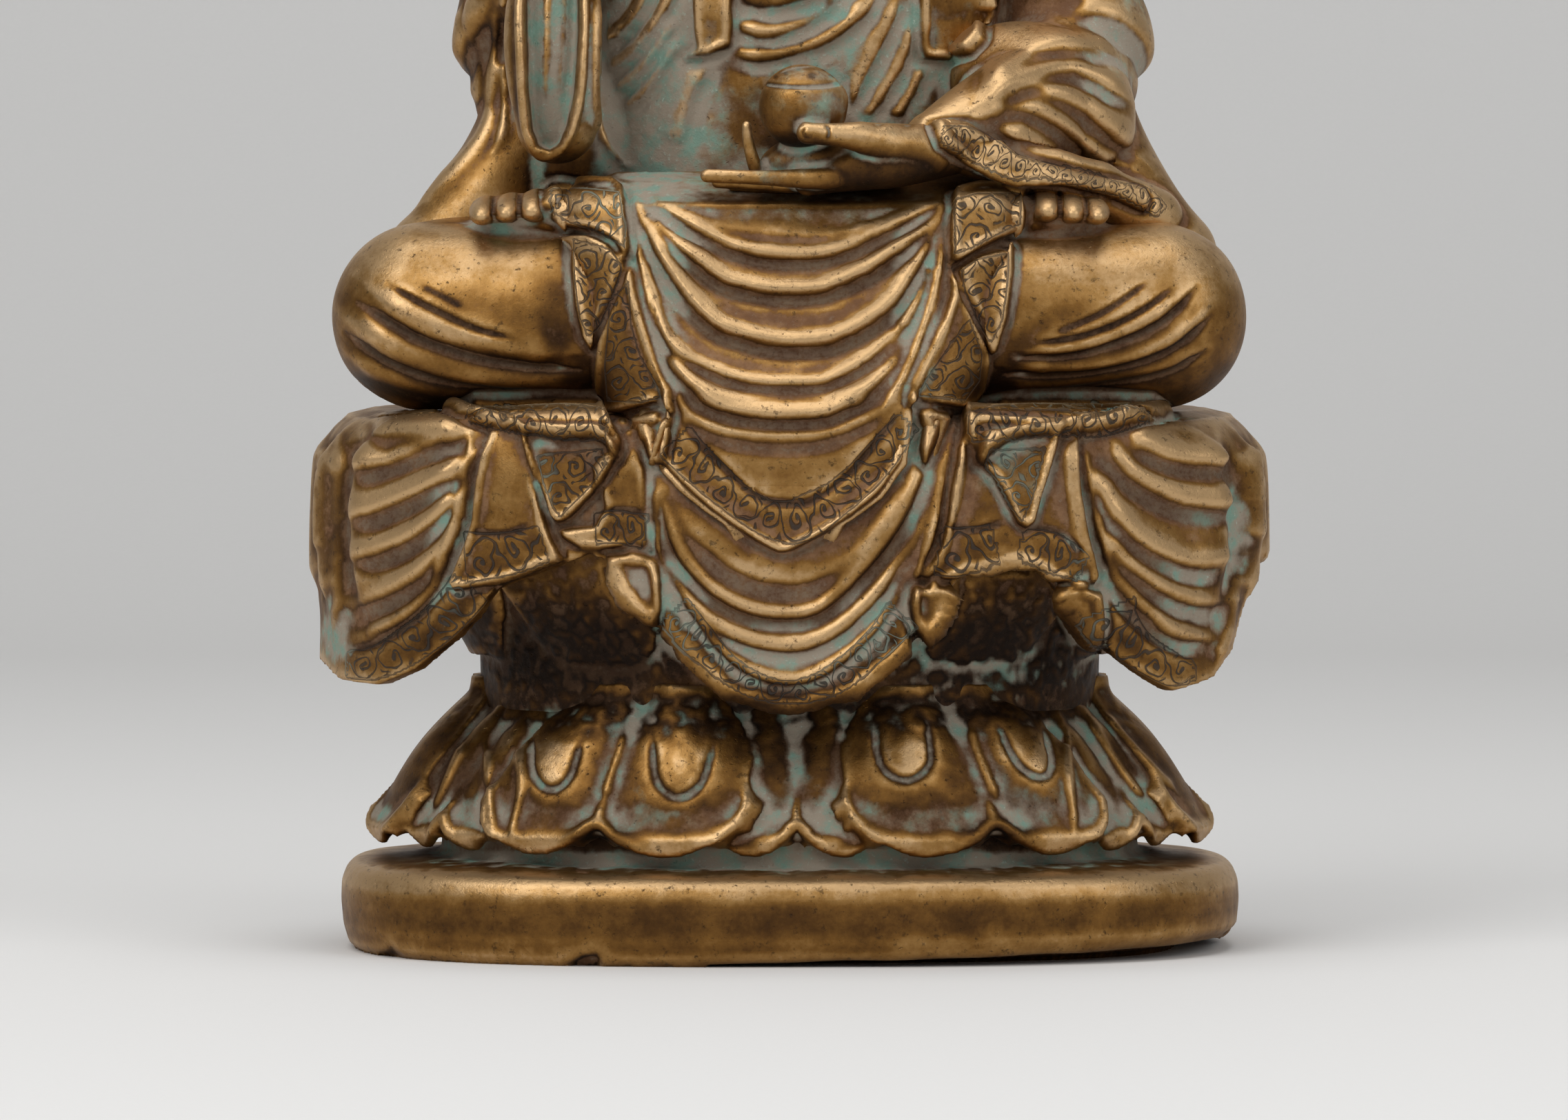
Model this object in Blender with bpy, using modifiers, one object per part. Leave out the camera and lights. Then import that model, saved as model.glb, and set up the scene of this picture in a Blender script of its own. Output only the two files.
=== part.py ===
"""Seated Buddhist master on a lotus throne, cast in copper alloy as one piece.

The figure is one solid. Closed base forms (lofts, tubes, spheres and thickened
sheets) overlap and are fused into one skin. Strokes carve the folds into the skin,
and it is then brought to its facet count. Metres, +Z up, the front is -Y.
"""
import math

import bmesh
import bpy
import numpy as np
from mathutils import Euler, Matrix, Vector

MM = 0.001

# The whole statue, from the table to the top of the head
STATUE_HEIGHT = 254.7 * MM

# Plinth: the plain oval block at the bottom
PLINTH_HALF_WIDTH = 73.8 * MM
PLINTH_HALF_DEPTH = 48.0 * MM
PLINTH_HEIGHT = 14.6 * MM
PLINTH_SQUARENESS = 2.6
RIM_LIFT = 2.4 * MM
RIM_LIFT_WIDTH = 9.0 * MM

# Lotus throne: downward petals, waist, upward petals, seat
LOTUS_HEIGHT = 29.0 * MM
WAIST_HALF_WIDTH = 51.0 * MM
WAIST_HALF_DEPTH = 32.0 * MM
PETAL_REACH = 18.0 * MM
PETAL_REACH_DEPTH = 10.4 * MM
PETAL_THICKNESS = 3.4 * MM
PETAL_CUSP = 7.0 * MM
PETAL_GAP = 3.0 * MM
PETAL_ANGLE = math.radians(21.0)
SMALL_PETAL_ANGLE = math.radians(13.5)
SMALL_PETAL_INSET = 2.6 * MM
PETAL_DIRECTIONS = (0.0, 60.0, 120.0, 180.0, 243.0, 299.0)
BOSS_RADII = (2.6 * MM, 2.2 * MM, 4.6 * MM)
THRONE_RISE = 44.4 * MM
SEAT_HALF_WIDTH = 73.0 * MM
SEAT_HALF_DEPTH = 47.0 * MM
UPPER_PETAL_COUNT = 10

# Cloth that hangs from the seat
CLOTH_HALF_WIDTH = 77.2 * MM
CLOTH_HALF_DEPTH = 49.5 * MM
CLOTH_SQUARENESS = 2.6
CLOTH_THICKNESS = 3.6 * MM
CLOTH_BACK_EDGE = 14.0 * MM

# Seated figure, measured up from the seat
KNEE_REACH = 59.0 * MM
KNEE_RISE = 15.8 * MM
KNEE_RADIUS = 15.2 * MM
LAP_RISE = 35.0 * MM
APRON_HALF_WIDTH = 35.0 * MM
APRON_SQUARENESS = 3.8
TORSO_HALF_WIDTH = 35.0 * MM
TORSO_HALF_DEPTH = 23.0 * MM
SHOULDER_RISE = 103.0 * MM
SHOULDER_REACH = 40.0 * MM
ARM_RADIUS = 11.6 * MM
ELBOW_RISE = 56.0 * MM
HEAD_HALF_WIDTH = 17.0 * MM
HEAD_HALF_HEIGHT = 21.0 * MM
POT_RADIUS = 7.0 * MM
FINGER_RADIUS = 1.9 * MM
TOE_RADIUS = 2.3 * MM

# The eye that the carving tables are drawn from, ahead of the front plane
EYE_DISTANCE = 1500.0 * MM
EYE_HEIGHT = 130.0 * MM

# Skin
VOXEL = 0.95 * MM
SMOOTH_PASSES = 2
SIGHT_CELL = 1.6 * MM
SIGHT_DEPTH = 4.0 * MM
FACET_COUNT = 11900

PLINTH_TOP = PLINTH_HEIGHT
WAIST_Z = PLINTH_TOP + LOTUS_HEIGHT
SEAT_Z = WAIST_Z + THRONE_RISE
LAP_Z = SEAT_Z + LAP_RISE
ELBOW_Z = SEAT_Z + ELBOW_RISE
SHOULDER_Z = SEAT_Z + SHOULDER_RISE
CROWN = 1.034 * HEAD_HALF_HEIGHT
HEAD_Z = STATUE_HEIGHT - CROWN
FRONT_PLANE = -PLINTH_HALF_DEPTH

# Heights that the carving tables are drawn at, with the built height and the drawn and
# built half width that belong to each, so that the drawn folds follow the forms
DRAWN_LEVELS = (
    (0.0, 0.0, 73.8, PLINTH_HALF_WIDTH),
    (14.6, PLINTH_TOP, 73.8, PLINTH_HALF_WIDTH),
    (43.6, WAIST_Z, 77.2, CLOTH_HALF_WIDTH),
    (88.0, SEAT_Z, 77.2, CLOTH_HALF_WIDTH),
    (103.8, SEAT_Z + KNEE_RISE, 59.0, KNEE_REACH),
    (123.0, LAP_Z, 35.0, APRON_HALF_WIDTH),
    (144.0, ELBOW_Z, 40.0, SHOULDER_REACH),
    (191.0, SHOULDER_Z, 40.0, SHOULDER_REACH),
    (233.0, HEAD_Z, 17.0, HEAD_HALF_WIDTH),
)


def clear_scene():
    """Remove every object that the start-up file holds."""
    for item in list(bpy.data.objects):
        bpy.data.objects.remove(item, do_unlink=True)


def new_collection(name):
    """Make a collection and link it to the scene."""
    group = bpy.data.collections.new(name)
    bpy.context.scene.collection.children.link(group)
    return group


def add_object(name, data, group):
    """Wrap mesh or curve data in an object of the given collection."""
    item = bpy.data.objects.new(name, data)
    group.objects.link(item)
    return item


def add_mesh(name, vertices, faces, group):
    """Make a mesh object from vertices and faces."""
    data = bpy.data.meshes.new(name)
    data.from_pydata(vertices, [], faces)
    data.validate()
    return add_object(name, data, group)


def evaluated_mesh(item):
    """Return the mesh of an object with its modifiers applied."""
    bpy.context.view_layer.update()
    graph = bpy.context.evaluated_depsgraph_get()
    return bpy.data.meshes.new_from_object(item.evaluated_get(graph))


def oval(half_x, half_y, squareness, angle):
    """Return the point of a superellipse at an angle from +X."""
    c = math.cos(angle)
    s = math.sin(angle)
    x = half_x * math.copysign(abs(c) ** (2.0 / squareness), c)
    y = half_y * math.copysign(abs(s) ** (2.0 / squareness), s)
    return x, y


def loft(name, rings, group, squareness=2.0, sides=72):
    """Skin closed rings (z, half x, half y, centre x, centre y) into one solid."""
    vertices = []
    for z, half_x, half_y, centre_x, centre_y in rings:
        for k in range(sides):
            x, y = oval(half_x, half_y, squareness, 2.0 * math.pi * k / sides)
            vertices.append((centre_x + x, centre_y + y, z))
    faces = []
    for r in range(len(rings) - 1):
        for k in range(sides):
            a = r * sides + k
            b = r * sides + (k + 1) % sides
            faces.append((a, b, b + sides, a + sides))
    faces.append(tuple(reversed(range(sides))))
    top = (len(rings) - 1) * sides
    faces.append(tuple(range(top, top + sides)))
    return add_mesh(name, vertices, faces, group)


def blob(name, centre, radii, group, turn=(0.0, 0.0, 0.0)):
    """Make an ellipsoid with its own turn."""
    shape = bmesh.new()
    bmesh.ops.create_uvsphere(shape, u_segments=40, v_segments=24, radius=1.0)
    scale = Matrix.Diagonal(Vector((*radii, 1.0)))
    spin = Euler([math.radians(a) for a in turn]).to_matrix().to_4x4()
    bmesh.ops.transform(shape, matrix=Matrix.Translation(centre) @ spin @ scale, verts=shape.verts)
    data = bpy.data.meshes.new(name)
    shape.to_mesh(data)
    shape.free()
    return add_object(name, data, group)


def limb(name, stations, group):
    """Make a round tube with ball ends through stations (x, y, z, radius)."""
    data = bpy.data.curves.new(name, "CURVE")
    data.dimensions = "3D"
    data.bevel_depth = 1.0
    data.bevel_resolution = 6
    data.resolution_u = 8
    data.use_fill_caps = True
    spline = data.splines.new("NURBS")
    spline.points.add(len(stations) - 1)
    for point, (x, y, z, radius) in zip(spline.points, stations):
        point.co = (x, y, z, 1.0)
        point.radius = radius
    spline.order_u = min(3, len(stations))
    spline.use_endpoint_u = True
    tube = add_object(name, data, group)
    for end, (x, y, z, radius) in (("start", stations[0]), ("end", stations[-1])):
        blob(f"{name}_{end}", (x, y, z), (radius, radius, radius), group)
    return tube


def sheet(name, rows, thickness, group):
    """Thicken a grid of points toward the middle axis into a closed sheet."""
    count = len(rows[0])
    vertices = [point for row in rows for point in row]
    faces = []
    for r in range(len(rows) - 1):
        for k in range(count - 1):
            a = r * count + k
            faces.append((a, a + count, a + 1 + count, a + 1))
    item = add_mesh(name, vertices, faces, group)
    outward = sum(f.normal.x * f.center.x + f.normal.y * f.center.y for f in item.data.polygons)
    if outward < 0.0:
        item.data.flip_normals()
    wall = item.modifiers.new("Wall", "SOLIDIFY")
    wall.thickness = thickness
    wall.offset = -1.0
    wall.use_even_offset = False
    return item


def mirrored(stations, side):
    """Mirror stations or points across the middle plane when side is -1."""
    return [(side * s[0], *s[1:]) for s in stations]


def smooth_line(points, per_span=6):
    """Return a Catmull-Rom curve through the points of a table row."""
    p = np.array(points, dtype=float)
    if len(p) < 3:
        return p
    ends = np.vstack([2 * p[0] - p[1], p, 2 * p[-1] - p[-2]])
    out = []
    for i in range(1, len(ends) - 2):
        a, b, c, d = ends[i - 1], ends[i], ends[i + 1], ends[i + 2]
        for t in np.linspace(0.0, 1.0, per_span, endpoint=False):
            out.append(0.5 * (2 * b + (c - a) * t + (2 * a - 5 * b + 4 * c - d) * t * t
                              + (3 * b - a - 3 * c + d) * t * t * t))
    out.append(p[-1])
    return np.array(out)


def drawn_height(built):
    """Return the height in the carving tables of a built height."""
    return np.interp(built, [level[1] for level in DRAWN_LEVELS], [level[0] * MM for level in DRAWN_LEVELS])


def drawn_widening(built):
    """Return how much wider the statue is than its carving tables at a built height."""
    ratios = [level[3] / (level[2] * MM) for level in DRAWN_LEVELS]
    return np.interp(built, [level[1] for level in DRAWN_LEVELS], ratios)


def build_plinth(group):
    """Make the oval block with its rounded top edge and its uneven foot."""
    profile = (
        (0.0, -2.6, -2.0), (1.0, -1.3, -1.0), (4.0, -0.4, -0.2), (8.0, 0.0, 0.0), (11.2, -0.1, -0.1),
        (13.2, -0.9, -0.8), (14.2, -2.0, -1.9), (14.7, -4.0, -3.6), (15.0, -9.0, -6.6), (15.6, -18.0, -13.0),
    )
    top = profile[-3][0] * MM
    rings = []
    for z, dx, dy in profile:
        height = z * MM / top * PLINTH_HEIGHT
        rings.append((height, PLINTH_HALF_WIDTH + dx * MM, PLINTH_HALF_DEPTH + dy * MM, 0.0, 0.0))
    block = loft("plinth_form", rings, group, PLINTH_SQUARENESS)
    for vertex in block.data.vertices:
        x, y, z = vertex.co
        if z > PLINTH_HEIGHT * 0.1:
            continue
        share = min(1.0, max(0.0, (x / PLINTH_HALF_WIDTH + 0.45) / 1.45))
        vertex.co.z = z + RIM_LIFT * share * (1.0 if y < 0.0 else 0.35)
    inset = RIM_LIFT_WIDTH + 1.5 * MM
    flare = 3.0 * MM
    rings = (
        (0.0, PLINTH_HALF_WIDTH - inset, PLINTH_HALF_DEPTH - inset, 0.0, 0.0),
        (PLINTH_HEIGHT * 0.5, PLINTH_HALF_WIDTH - inset + flare, PLINTH_HALF_DEPTH - inset + flare, 0.0, 0.0),
    )
    loft("foot_form", rings, group, PLINTH_SQUARENESS)


def build_throne_core(group):
    """Make the waisted core that carries the petals, the cloth and the seat."""
    stations = (
        (0.72, 0.0, 7.0, 5.0), (1.0, 6.0, 6.0, 4.5), (1.0, 14.0, 3.5, 2.5), (1.0, 24.0, 0.5, 0.5),
        (1.0, 29.0, 0.0, 0.0),
    )
    rings = []
    for share, rise, dx, dy in stations:
        z = PLINTH_TOP * share + rise * MM / (29.0 * MM) * LOTUS_HEIGHT
        rings.append((z, WAIST_HALF_WIDTH + dx * MM, WAIST_HALF_DEPTH + dy * MM, 0.0, 0.0))
    flare = (
        (0.16, 0.0, 0.0), (0.30, 0.06, 0.10), (0.52, 0.26, 0.35), (0.72, 0.48, 0.62), (0.84, 0.75, 0.85),
        (0.93, 0.97, 1.0), (0.985, 1.0, 1.0), (1.01, 0.80, 0.78),
    )
    for share, wide, deep in flare:
        half_x = WAIST_HALF_WIDTH + wide * (SEAT_HALF_WIDTH - WAIST_HALF_WIDTH)
        half_y = WAIST_HALF_DEPTH + deep * (SEAT_HALF_DEPTH - WAIST_HALF_DEPTH)
        rings.append((WAIST_Z + share * THRONE_RISE, half_x, half_y, 0.0, 0.0))
    loft("throne_form", rings, group, 2.3)


def petal_curve(t):
    """Return how far a petal has swung out, from 0 at the waist to 1 at the tip."""
    share = min(1.0, max(0.0, (t - 0.10) / 0.82))
    return 0.5 * (share + math.sin(0.5 * math.pi * share)) - 0.10 * max(0.0, t - 0.92) / 0.08


def build_petal(name, angle, half_angle, inset, group):
    """Make one double-lobed petal that hangs from the waist over the plinth."""
    rows = []
    top = WAIST_Z + 1.0 * MM
    tip = PLINTH_TOP + PETAL_GAP
    for v in np.linspace(0.0, 1.0, 16):
        row = []
        for u in np.linspace(-1.0, 1.0, 27):
            lobe = abs(math.sin(math.pi * u)) ** 0.5
            edge = tip + PETAL_CUSP * (1.0 - lobe) * (1.0 if abs(u) < 0.5 else 1.25)
            z = top + (edge - top) * v
            t = (top - z) / (top - tip)
            out = petal_curve(t)
            bulge = 2.2 * MM * abs(math.sin(math.pi * u)) * math.sin(math.pi * min(1.0, 0.25 + t))
            rim = 0.9 * MM * max(0.0, (v - 0.86) / 0.14)
            wide = half_angle * (0.62 + 0.38 * math.sin(0.5 * math.pi * min(1.0, v * 1.5)))
            half_x = WAIST_HALF_WIDTH + out * PETAL_REACH + bulge + rim - inset
            half_y = WAIST_HALF_DEPTH + out * PETAL_REACH_DEPTH + bulge + rim - inset
            spot = angle + u * wide
            row.append((half_x * math.cos(spot), half_y * math.sin(spot), z))
        rows.append(row)
    sheet(name, rows, PETAL_THICKNESS, group)


def build_upper_petal(name, angle, group):
    """Make one plain petal that opens upward to the seat."""
    rows = []
    bottom = WAIST_Z + 0.10 * THRONE_RISE
    top = WAIST_Z + 0.80 * THRONE_RISE
    half_angle = math.pi / UPPER_PETAL_COUNT
    for v in np.linspace(0.0, 1.0, 12):
        row = []
        for u in np.linspace(-1.0, 1.0, 15):
            wide = half_angle * (0.55 + 0.45 * math.sin(math.pi * min(0.5, v * 0.8)))
            z = bottom + (top - bottom) * v * (1.0 - 0.22 * u * u)
            belly = 3.0 * MM * (1.0 - u * u) * math.sin(math.pi * (0.15 + 0.75 * v))
            grow = 0.08 + 0.52 * v
            half_x = WAIST_HALF_WIDTH + grow * (SEAT_HALF_WIDTH - WAIST_HALF_WIDTH) + belly
            half_y = WAIST_HALF_DEPTH + grow * (SEAT_HALF_DEPTH - WAIST_HALF_DEPTH) + belly
            spot = angle + u * wide
            row.append((half_x * math.cos(spot), half_y * math.sin(spot), z))
        rows.append(row)
    sheet(name, rows, PETAL_THICKNESS, group)


def build_lotus(group):
    """Set both rings of petals and the raised ovals on their lobes."""
    turns = [math.radians(direction) for direction in PETAL_DIRECTIONS]
    for k, angle in enumerate(turns):
        after = turns[k + 1] if k + 1 < len(turns) else turns[0] + 2.0 * math.pi
        build_petal(f"petal_{k}", angle, PETAL_ANGLE, 0.0, group)
        build_petal(f"small_petal_{k}", 0.5 * (angle + after), SMALL_PETAL_ANGLE, SMALL_PETAL_INSET, group)
        for side in (-1.0, 1.0):
            spot = angle + side * PETAL_ANGLE * 0.50
            t = 0.34
            out = petal_curve(t)
            x = (WAIST_HALF_WIDTH + out * PETAL_REACH + 1.6 * MM) * math.cos(spot)
            y = (WAIST_HALF_DEPTH + out * PETAL_REACH_DEPTH + 1.6 * MM) * math.sin(spot)
            z = WAIST_Z - t * LOTUS_HEIGHT
            blob(f"boss_{k}_{side:.0f}", (x, y, z), BOSS_RADII, group, (0.0, 0.0, math.degrees(spot)))
    for k in range(UPPER_PETAL_COUNT):
        build_upper_petal(f"upper_petal_{k}", 2.0 * math.pi * (k + 0.5) / UPPER_PETAL_COUNT, group)


# Lower edge of the hanging cloth, (x, height), from the left end to the right end
CLOTH_HEM = (
    (-79, 60), (-76.5, 56), (-75.5, 50), (-72, 46.2), (-66, 45.4), (-60, 47.8), (-54, 52.5), (-50.5, 56),
    (-47.5, 60.5), (-42, 62.6), (-36, 64.8), (-32, 66.5), (-29, 65.0), (-26.5, 59.5), (-24, 56.2), (-21.6, 55),
    (-20, 54.6), (-16, 49.6), (-12, 45.6), (-8, 43.0), (-4, 41.4), (0, 40.8), (4, 41.4), (8, 43.0),
    (13, 46.3), (17, 50.0), (20.6, 53.0), (23.6, 54.2), (25.2, 60.0), (28, 63.4), (33, 64.4), (36.5, 65.4),
    (41, 62.8), (45, 58.0), (47.5, 54.4), (50.5, 51.4), (56, 47.4), (61.5, 44.4), (65.5, 45.6), (68, 46.6),
    (70.8, 51.0), (72.5, 57.0), (74, 65), (77, 69),
)


def build_cloth(group):
    """Hang the cloth over the front and the sides of the seat."""
    hem_x = [p[0] * MM for p in CLOTH_HEM]
    hem_z = [p[1] * MM for p in CLOTH_HEM]
    built = [level[1] for level in DRAWN_LEVELS]
    drawn = [level[0] * MM for level in DRAWN_LEVELS]
    spread = CLOTH_HALF_WIDTH / (77.2 * MM)
    edge = math.asin(min(1.0, (CLOTH_BACK_EDGE / CLOTH_HALF_DEPTH) ** (CLOTH_SQUARENESS / 2.0)))
    top = SEAT_Z - 0.6 * MM
    rows = []
    for v in np.linspace(0.0, 1.0, 20):
        row = []
        for angle in np.linspace(math.pi - edge, 2.0 * math.pi + edge, 181):
            x, y = oval(CLOTH_HALF_WIDTH, CLOTH_HALF_DEPTH, CLOTH_SQUARENESS, angle)
            shrink = 1.0 + (y - FRONT_PLANE) / EYE_DISTANCE
            bottom = float(np.interp(np.interp(x / shrink / spread, hem_x, hem_z), drawn, built))
            bottom = EYE_HEIGHT + (bottom - EYE_HEIGHT) * shrink
            z = top + (bottom - top) * v
            roll = -5.0 * MM * math.exp(-((top - z) / (3.2 * MM)))
            keep = 1.0 + roll / CLOTH_HALF_WIDTH
            row.append((x * keep, y * keep, z))
        rows.append(row)
    sheet("cloth_form", rows, CLOTH_THICKNESS, group)


def build_legs(group):
    """Cross the covered legs in front of the body, with the toes on the thighs."""
    knee_z = SEAT_Z + KNEE_RISE
    for side, tag in ((-1, "right"), (1, "left")):
        shin = (
            (KNEE_REACH, -21 * MM, knee_z, KNEE_RADIUS),
            (KNEE_REACH - 15 * MM, -25 * MM, knee_z, KNEE_RADIUS * 0.97),
            (KNEE_REACH - 31 * MM, -27 * MM, knee_z - 0.5 * MM, KNEE_RADIUS * 0.93),
            (0.0, -27 * MM, knee_z - 1.5 * MM, KNEE_RADIUS * 0.9),
        )
        thigh = (
            (KNEE_REACH, -21 * MM, knee_z, KNEE_RADIUS),
            (KNEE_REACH - 14 * MM, -8 * MM, knee_z + 1.0 * MM, KNEE_RADIUS * 1.08),
            (18 * MM, 9 * MM, knee_z + 3.0 * MM, KNEE_RADIUS * 1.2),
        )
        limb(f"shin_{tag}", mirrored(shin, side), group)
        limb(f"thigh_{tag}", mirrored(thigh, side), group)
        foot_z = knee_z + KNEE_RADIUS + 1.2 * MM
        blob(f"foot_{tag}", (side * 37 * MM, -23 * MM, foot_z - 0.6 * MM),
             (14.5 * MM, 11 * MM, 3.6 * MM), group, (0, side * 4.0, side * 6.0))
        toes = ((41.3, 1.25), (45.2, 0.95), (47.6, 0.9), (49.9, 0.9))
        for k, (x, grow) in enumerate(toes):
            radius = TOE_RADIUS * grow
            path = [(x * MM, -24 * MM, foot_z + 0.4 * MM, radius), (x * MM, -35.5 * MM, foot_z + 0.4 * MM, radius)]
            limb(f"toe_{tag}_{k}", mirrored(path, side), group)
    blob("hips", (0.0, 10 * MM, SEAT_Z + 15 * MM), (46 * MM, 27 * MM, 20 * MM), group)
    blob("lap", (0.0, -17 * MM, SEAT_Z + 20 * MM), (37 * MM, 22 * MM, 14.5 * MM), group)


def build_apron(group):
    """Make the cloth that falls over the crossed legs."""
    wide = APRON_HALF_WIDTH
    rings = (
        (LAP_Z + 1.6 * MM, wide * 0.97, 9 * MM, 0.0, -25 * MM),
        (LAP_Z - 1.0 * MM, wide * 1.03, 13.5 * MM, 0.0, -25.5 * MM),
        (LAP_Z - 8.0 * MM, wide * 1.02, 18.0 * MM, 0.0, -25 * MM),
        (LAP_Z - 18.0 * MM, wide * 0.98, 20.5 * MM, 0.0, -25 * MM),
        (LAP_Z - 26.0 * MM, wide * 0.93, 22.5 * MM, 0.0, -25 * MM),
        (SEAT_Z + 3.0 * MM, wide * 0.84, 24.5 * MM, 0.0, -25 * MM),
        (SEAT_Z - 4.0 * MM, wide * 0.76, 25.0 * MM, 0.0, -25 * MM),
        (SEAT_Z - 10.0 * MM, wide * 0.70, 24.5 * MM, 0.0, -25 * MM),
        (SEAT_Z - 17.0 * MM, wide * 0.62, 20.0 * MM, 0.0, -28 * MM),
    )
    loft("apron_form", rings, group, APRON_SQUARENESS)


def build_torso(group):
    """Make the robed body from the hips to the shoulders."""
    wide = TORSO_HALF_WIDTH
    deep = TORSO_HALF_DEPTH
    rings = (
        (SEAT_Z + 6 * MM, wide * 1.05, deep * 1.15, 0.0, 5 * MM),
        (SEAT_Z + 34 * MM, wide * 0.98, deep * 1.04, 0.0, 3 * MM),
        (SEAT_Z + 50 * MM, wide * 0.97, deep * 0.98, 0.0, 2 * MM),
        (SEAT_Z + 66 * MM, wide * 1.02, deep, 0.0, 2 * MM),
        (SHOULDER_Z - 22 * MM, wide * 1.12, deep * 0.98, 0.0, 3 * MM),
        (SHOULDER_Z - 8 * MM, wide * 1.15, deep * 0.86, 0.0, 4 * MM),
        (SHOULDER_Z + 1 * MM, wide * 1.02, deep * 0.74, 0.0, 4 * MM),
        (SHOULDER_Z + 7 * MM, wide * 0.70, deep * 0.62, 0.0, 4 * MM),
        (SHOULDER_Z + 12 * MM, wide * 0.40, deep * 0.52, 0.0, 3 * MM),
    )
    loft("torso_form", rings, group, 2.2)
    collar = (
        (-20 * MM, -12.5 * MM, SHOULDER_Z - 16 * MM, 4.0 * MM), (-13 * MM, -8 * MM, SHOULDER_Z + 3 * MM, 3.8 * MM),
        (0.0, 12 * MM, SHOULDER_Z + 13 * MM, 4.2 * MM), (13 * MM, -8 * MM, SHOULDER_Z + 3 * MM, 3.8 * MM),
        (4 * MM, -18.5 * MM, SHOULDER_Z - 16 * MM, 3.4 * MM),
    )
    limb("collar", collar, group)


def build_arms(group):
    """Make the left arm that holds the pot and the raised right arm with its sleeve."""
    for side, tag in ((-1, "right"), (1, "left")):
        blob(f"shoulder_{tag}", (side * (SHOULDER_REACH - 9 * MM), 4 * MM, SHOULDER_Z - 5 * MM),
             (20 * MM, ARM_RADIUS * 1.18, ARM_RADIUS * 1.05), group, (0.0, side * 26.0, 0.0))
    blob("side_cloth_right", (-SHOULDER_REACH + 6 * MM, -4 * MM, ELBOW_Z - 12 * MM),
         (13 * MM, 11 * MM, 17 * MM), group)
    blob("side_cloth_left", (SHOULDER_REACH - 4 * MM, -2 * MM, ELBOW_Z - 10 * MM),
         (14 * MM, 12 * MM, 16 * MM), group)
    limb("sleeve_left", (
        (SHOULDER_REACH - 2 * MM, 4 * MM, SHOULDER_Z - 9 * MM, ARM_RADIUS),
        (SHOULDER_REACH + 6 * MM, 3 * MM, SHOULDER_Z - 28 * MM, ARM_RADIUS * 1.05),
        (SHOULDER_REACH + 7 * MM, 0.0, ELBOW_Z + 2 * MM, ARM_RADIUS * 1.04),
        (SHOULDER_REACH + 3 * MM, -13 * MM, ELBOW_Z - 6 * MM, ARM_RADIUS),
        (SHOULDER_REACH - 10 * MM, -28 * MM, ELBOW_Z - 9.5 * MM, ARM_RADIUS * 0.66),
        (SHOULDER_REACH - 17 * MM, -34 * MM, ELBOW_Z - 11.5 * MM, ARM_RADIUS * 0.40),
    ), group)
    blob("sleeve_left_fullness", (SHOULDER_REACH + 1 * MM, -13 * MM, ELBOW_Z - 5 * MM),
         (16 * MM, 11.5 * MM, 12 * MM), group, (0.0, 24.0, 0.0))
    limb("sleeve_left_fall", (
        (SHOULDER_REACH + 5 * MM, -2 * MM, ELBOW_Z - 4 * MM, ARM_RADIUS * 0.92),
        (SHOULDER_REACH + 11 * MM, -8 * MM, ELBOW_Z - 19 * MM, ARM_RADIUS * 0.70),
        (SHOULDER_REACH + 21 * MM, -12 * MM, ELBOW_Z - 31 * MM, ARM_RADIUS * 0.76),
    ), group)
    limb("cuff_left", (
        (SHOULDER_REACH - 14 * MM, -33 * MM, ELBOW_Z - 13 * MM, 3.6 * MM),
        (SHOULDER_REACH - 4 * MM, -31 * MM, ELBOW_Z - 16.5 * MM, 3.6 * MM),
        (SHOULDER_REACH + 8 * MM, -25 * MM, ELBOW_Z - 18.5 * MM, 4.2 * MM),
        (SHOULDER_REACH + 19 * MM, -17 * MM, ELBOW_Z - 24.5 * MM, 5.0 * MM),
    ), group)
    limb("sleeve_right", (
        (-SHOULDER_REACH + 2 * MM, 4 * MM, SHOULDER_Z - 9 * MM, ARM_RADIUS),
        (-SHOULDER_REACH - 4 * MM, 3 * MM, SHOULDER_Z - 25 * MM, ARM_RADIUS),
        (-SHOULDER_REACH - 3.6 * MM, 0.0, ELBOW_Z + 6 * MM, ARM_RADIUS * 0.93),
        (-SHOULDER_REACH - 2.0 * MM, -3 * MM, ELBOW_Z - 6 * MM, ARM_RADIUS * 0.80),
    ), group)
    limb("sleeve_right_fall", (
        (-SHOULDER_REACH - 1.5 * MM, -4 * MM, ELBOW_Z - 8 * MM, ARM_RADIUS * 0.76),
        (-SHOULDER_REACH - 9 * MM, -8 * MM, ELBOW_Z - 22 * MM, ARM_RADIUS * 0.62),
        (-SHOULDER_REACH - 18 * MM, -11 * MM, ELBOW_Z - 31 * MM, ARM_RADIUS * 0.70),
    ), group)
    limb("forearm_right", (
        (-SHOULDER_REACH - 3 * MM, -2 * MM, ELBOW_Z + 8 * MM, ARM_RADIUS * 0.86),
        (-SHOULDER_REACH + 0.5 * MM, -17 * MM, ELBOW_Z + 20 * MM, ARM_RADIUS * 0.74),
        (-SHOULDER_REACH + 2.5 * MM, -24 * MM, ELBOW_Z + 31 * MM, ARM_RADIUS * 0.42),
    ), group)
    limb("hanging_sleeve_right", (
        (-SHOULDER_REACH + 2 * MM, -20 * MM, ELBOW_Z + 24 * MM, 6.4 * MM),
        (-SHOULDER_REACH + 2 * MM, -24 * MM, ELBOW_Z + 10 * MM, 7.8 * MM),
        (-SHOULDER_REACH + 2.0 * MM, -26 * MM, ELBOW_Z - 3 * MM, 7.6 * MM),
        (-SHOULDER_REACH + 2.4 * MM, -26 * MM, ELBOW_Z - 9 * MM, 6.6 * MM),
    ), group)


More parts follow.
